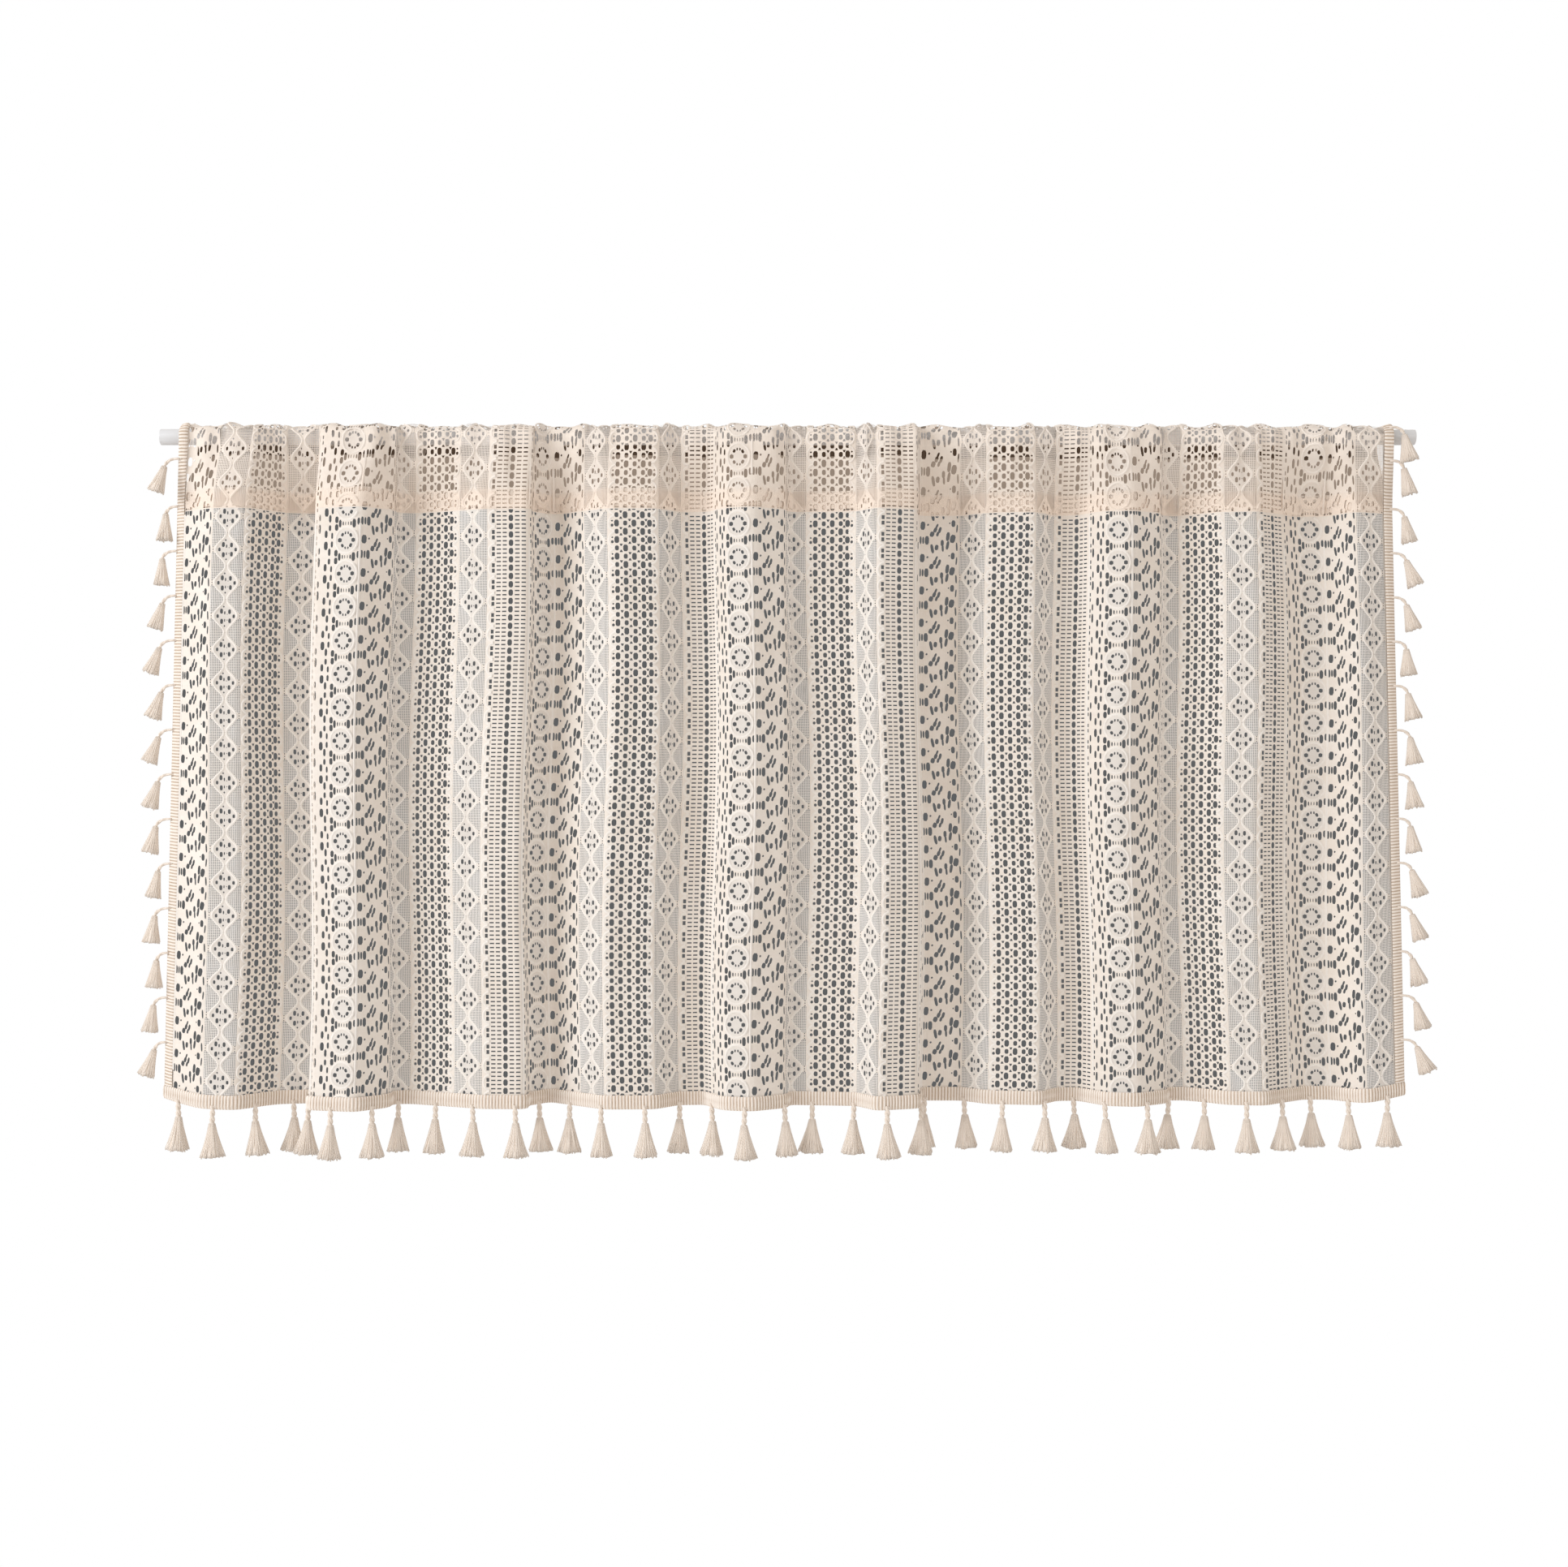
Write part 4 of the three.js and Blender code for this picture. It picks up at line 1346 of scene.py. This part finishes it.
class CURTAIN_OT_side_fringes(bpy.types.Operator):
    """Make the braid and the tassels along both sides"""

    bl_idname = "curtain.side_fringes"
    bl_label = "Make Side Fringes"

    def execute(self, context):
        colours = context.scene.curtain_colours
        pitch = context.scene.curtain_sizes.rib_pitch / MM
        yarn = twisted_yarn("side_trim_yarn", colours.trim, colours.trim_shade, 0.0012)
        braid = ribbed_braid("side_braid_yarn", colours.trim, colours.braid_gap_shade, pitch * MM)
        offset = CLOTH_THICKNESS / 2 + PIECE_GAP + BRAID_THICKNESS / 2
        for name, outward, seed in (("left", -1, 5), ("right", 1, 11)):
            edge = 0.0 if outward < 0 else FLAT_WIDTH
            drops = np.arange(HEM_BRAID_HEIGHT + PIECE_GAP, FRONT_TOP + 10, pitch / 6)
            outer = np.stack([np.full_like(drops, edge), drops], axis=1)
            inner = np.stack([np.full_like(drops, edge - outward * BRAID_WIDTH), drops], axis=1)
            parts = MeshParts()
            if outward < 0:
                woven_braid(parts, inner, outer, pitch, 8)
            else:
                woven_braid(parts, outer, inner, pitch, 8)
            seat(parts.piece(f"{name}_braid", braid), "trim", f"{name}_fringe")

            rng = np.random.default_rng(seed)
            parts = MeshParts()
            places = [FRONT_TOP - SIDE_TASSEL_FIRST - i * SIDE_TASSEL_PITCH for i in range(SIDE_TASSELS)]
            if outward > 0:
                places.append(TOP_TASSEL)
            for place in places:
                drop = np.array([place])
                flat = np.array([edge - outward * 3.0])
                root = (cloth_points(flat, drop) + cloth_normals(flat, drop) * offset)[0]
                reach = (SIDE_CORD_REACH - 1.5) * rng.uniform(0.75, 1.1)
                head = root + np.array([outward * (reach + 3.0), 0.0, -SIDE_CORD_FALL + 5.0])
                bend = root + np.array([outward * (reach * 0.75 + 3.0), 0.0, 0.8])
                turns = np.linspace(0, 1, 9).reshape(-1, 1)
                path = root * (1 - turns) ** 2 + 2 * bend * turns * (1 - turns) + head * turns**2
                add_cord(parts, path, SIDE_CORD_RADIUS)
                splay = outward * rng.uniform(*SIDE_SPLAY)
                add_tassel(parts, head, (splay, rng.uniform(-0.05, 0.05), -1.0), rng, SIDE_TASSEL)
            seat(parts.piece(f"{name}_tassels", yarn), "trim", f"{name}_fringe")
        return {"FINISHED"}


CAMERA_PLACE = (-0.003, -1.7, -0.284)
CAMERA_LENS = 47.6
FLOOR_LEVEL = -1.25
# Cards behind the lace: distance behind the cloth in millimetres, inset at the sides, and colours. The
# pocket's cards glow with painted shade: tan for the shaded back layer, dark brown for the painted shadow
# under the rod
CARD_GAP = 4.0
CARD_INSET = 1.5
CARD_COLUMNS = 640
CARD_COLOUR = (0.112, 0.115, 0.117)
POCKET_CARD_GAP = 0.7
POCKET_SHADE_COLOUR = (0.3, 0.235, 0.185)
SHADE_COLOUR = (0.07, 0.045, 0.03)
SHADE_LOW = 13.0
SHADE_HIGH = 3.0


Lamp = namedtuple("Lamp", "name place target size power colour")
LAMPS = (
    Lamp("key", (-2.85, -1.8, 0.9), (0.0, 0.0, -0.3), (1.9, 1.6), 70.0, (0.97, 1.0, 1.03)),
    Lamp("fill", (1.6, -1.8, 0.2), (0.1, 0.0, -0.3), (1.4, 1.4), 5.0, (1.0, 0.98, 0.95)),
    Lamp("back", (0.6, 1.8, 0.8), (0.0, 0.0, -0.3), (1.6, 1.2), 10.0, (1.0, 0.98, 0.95)),
)
WORLD_COLOUR = (1.0, 0.94, 0.88)
WORLD_STRENGTH = 0.68


def add_lamp(lamp):
    light = bpy.data.lights.new(lamp.name, "AREA")
    light.shape = "RECTANGLE"
    light.size = lamp.size[0]
    light.size_y = lamp.size[1]
    light.energy = lamp.power
    light.color = lamp.colour
    made = bpy.data.objects.new(lamp.name, light)
    made.location = lamp.place
    made.rotation_euler = (Vector(lamp.target) - Vector(lamp.place)).to_track_quat("-Z", "Y").to_euler()
    bpy.context.collection.objects.link(made)


class CURTAIN_OT_stage(bpy.types.Operator):
    """Make the floor, the cards behind the lace, the lights and the camera"""

    bl_idname = "curtain.stage"
    bl_label = "Make Stage"

    def execute(self, context):
        scene = context.scene
        floor_paint = Shader("pale_floor").finish(Base_Color=(0.9, 0.9, 0.9, 1.0), Roughness=0.8)
        corners = [(x, y, FLOOR_LEVEL) for x, y in ((-1.6, -1.5), (1.6, -1.5), (1.6, 0.7), (-1.6, 0.7))]
        floor = new_mesh("floor", corners, [(0, 1, 2, 3)], {}, floor_paint, smooth=False)
        hang = np.linspace(3.0, HANG_LENGTH + 3.0, 8)
        self.card("grey_card", hang, -CARD_GAP, CARD_COLOUR)
        # Painted shade: a glowing tan card stands in for the shaded back layer of the pocket
        pocket = np.linspace(BACK_SEAM, BACK_TOP + SHADE_LOW, 4)
        self.card("pocket_shade_card", pocket, -POCKET_CARD_GAP, POCKET_SHADE_COLOUR)
        shade = np.linspace(BACK_TOP + SHADE_LOW, BACK_TOP + SHADE_HIGH, 3)
        self.card("pocket_shade", shade, -POCKET_CARD_GAP, SHADE_COLOUR)
        # More painted shade of the back layer, above the painted shadow under the rod
        crown = np.linspace(BACK_TOP + SHADE_HIGH, BACK_TOP - 0.4 * OVER_ROD, 6)
        self.card("pocket_crown_shade", crown, -POCKET_CARD_GAP, POCKET_SHADE_COLOUR)
        self.world(scene)
        for lamp in LAMPS:
            add_lamp(lamp)
        lens = bpy.data.cameras.new("camera")
        lens.lens = CAMERA_LENS
        lens.sensor_width = 36.0
        camera = bpy.data.objects.new("camera", lens)
        camera.location = CAMERA_PLACE
        camera.rotation_euler = (math.pi / 2, 0.0, 0.0)
        context.collection.objects.link(camera)
        scene.camera = camera
        scene.view_settings.view_transform = "Standard"
        return {"FINISHED"}

    @staticmethod
    def card(name, drops, gap, colour):
        """A card that follows the folds behind the lace, seen only from its front."""
        shader = Shader(name)
        glow = shader.node("ShaderNodeEmission", Color=rgba(colour))
        clear = shader.node("ShaderNodeBsdfTransparent")
        from_behind = shader.node("ShaderNodeNewGeometry", output="Backfacing")
        blend = shader.node("ShaderNodeMixShader", input_0=from_behind, input_1=glow, input_2=clear)
        shader.feed(shader.tree.nodes["Material Output"].inputs[0], blend)
        flats = np.linspace(CARD_INSET, FLAT_WIDTH - CARD_INSET, CARD_COLUMNS)
        points = []
        for drop in drops:
            level = np.full_like(flats, drop)
            points.append((cloth_points(flats, level) + cloth_normals(flats, level) * gap) * MM)
        faces = grid_faces(len(drops), len(flats))
        card = new_mesh(name, np.concatenate(points), faces, {}, shader.material)
        card.visible_shadow = False
        card.visible_diffuse = False
        card.visible_glossy = False
        card.visible_transmission = False

    @staticmethod
    def world(scene):
        """Soft light all round, white behind the curtain and grey on the camera's side."""
        world = bpy.data.worlds.new("studio")
        scene.world = world
        shader = WorldShader(world)
        base = shader.tree.nodes["Background"]
        shader.feed(base.inputs["Color"], rgba(WORLD_COLOUR))
        shader.feed(base.inputs["Strength"], WORLD_STRENGTH)
        away = split(shader, shader.node("ShaderNodeTexCoord", output="Generated"))[1]
        settings = {"interpolation_type": "SMOOTHSTEP"}
        limits = {"From_Min": -0.9, "From_Max": 0.1, "To_Min": 0.3, "To_Max": 1.0}
        grey = shader.node("ShaderNodeMapRange", settings, Value=away, **limits)
        seen = shader.node("ShaderNodeBackground", Color=grey)
        by_camera = shader.node("ShaderNodeLightPath", output="Is Camera Ray")
        light = Socket(shader, base.outputs[0])
        blend = shader.node("ShaderNodeMixShader", input_0=by_camera, input_1=light, input_2=seen)
        shader.feed(shader.tree.nodes["World Output"].inputs[0], blend)


class CURTAIN_PT_panel(bpy.types.Panel):
    """Lists the steps that build the curtain"""

    bl_idname = "CURTAIN_PT_panel"
    bl_label = "Lace Cafe Curtain"
    bl_space_type = "VIEW_3D"
    bl_region_type = "UI"
    bl_category = "Curtain"

    def draw(self, context):
        layout = self.layout
        for group in (context.scene.curtain_sizes, context.scene.curtain_colours):
            for key in group.__annotations__:
                layout.prop(group, key)
        for operator in OPERATORS:
            layout.operator(operator.bl_idname)


OPERATORS = (
    CURTAIN_OT_stage,
    CURTAIN_OT_rod,
    CURTAIN_OT_lace,
    CURTAIN_OT_hem_fringe,
    CURTAIN_OT_side_fringes,
)
CLASSES = (CurtainSizes, CurtainColours, *OPERATORS, CURTAIN_PT_panel)


def register():
    for cls in CLASSES:
        bpy.utils.register_class(cls)
    bpy.types.Scene.curtain_sizes = bpy.props.PointerProperty(type=CurtainSizes)
    bpy.types.Scene.curtain_colours = bpy.props.PointerProperty(type=CurtainColours)


def unregister():
    del bpy.types.Scene.curtain_colours
    del bpy.types.Scene.curtain_sizes
    for cls in reversed(CLASSES):
        bpy.utils.unregister_class(cls)


def main():
    register()
    bpy.ops.curtain.stage()
    bpy.ops.curtain.rod()
    bpy.ops.curtain.lace()
    bpy.ops.curtain.hem_fringe()
    bpy.ops.curtain.side_fringes()


if __name__ == "__main__":
    main()
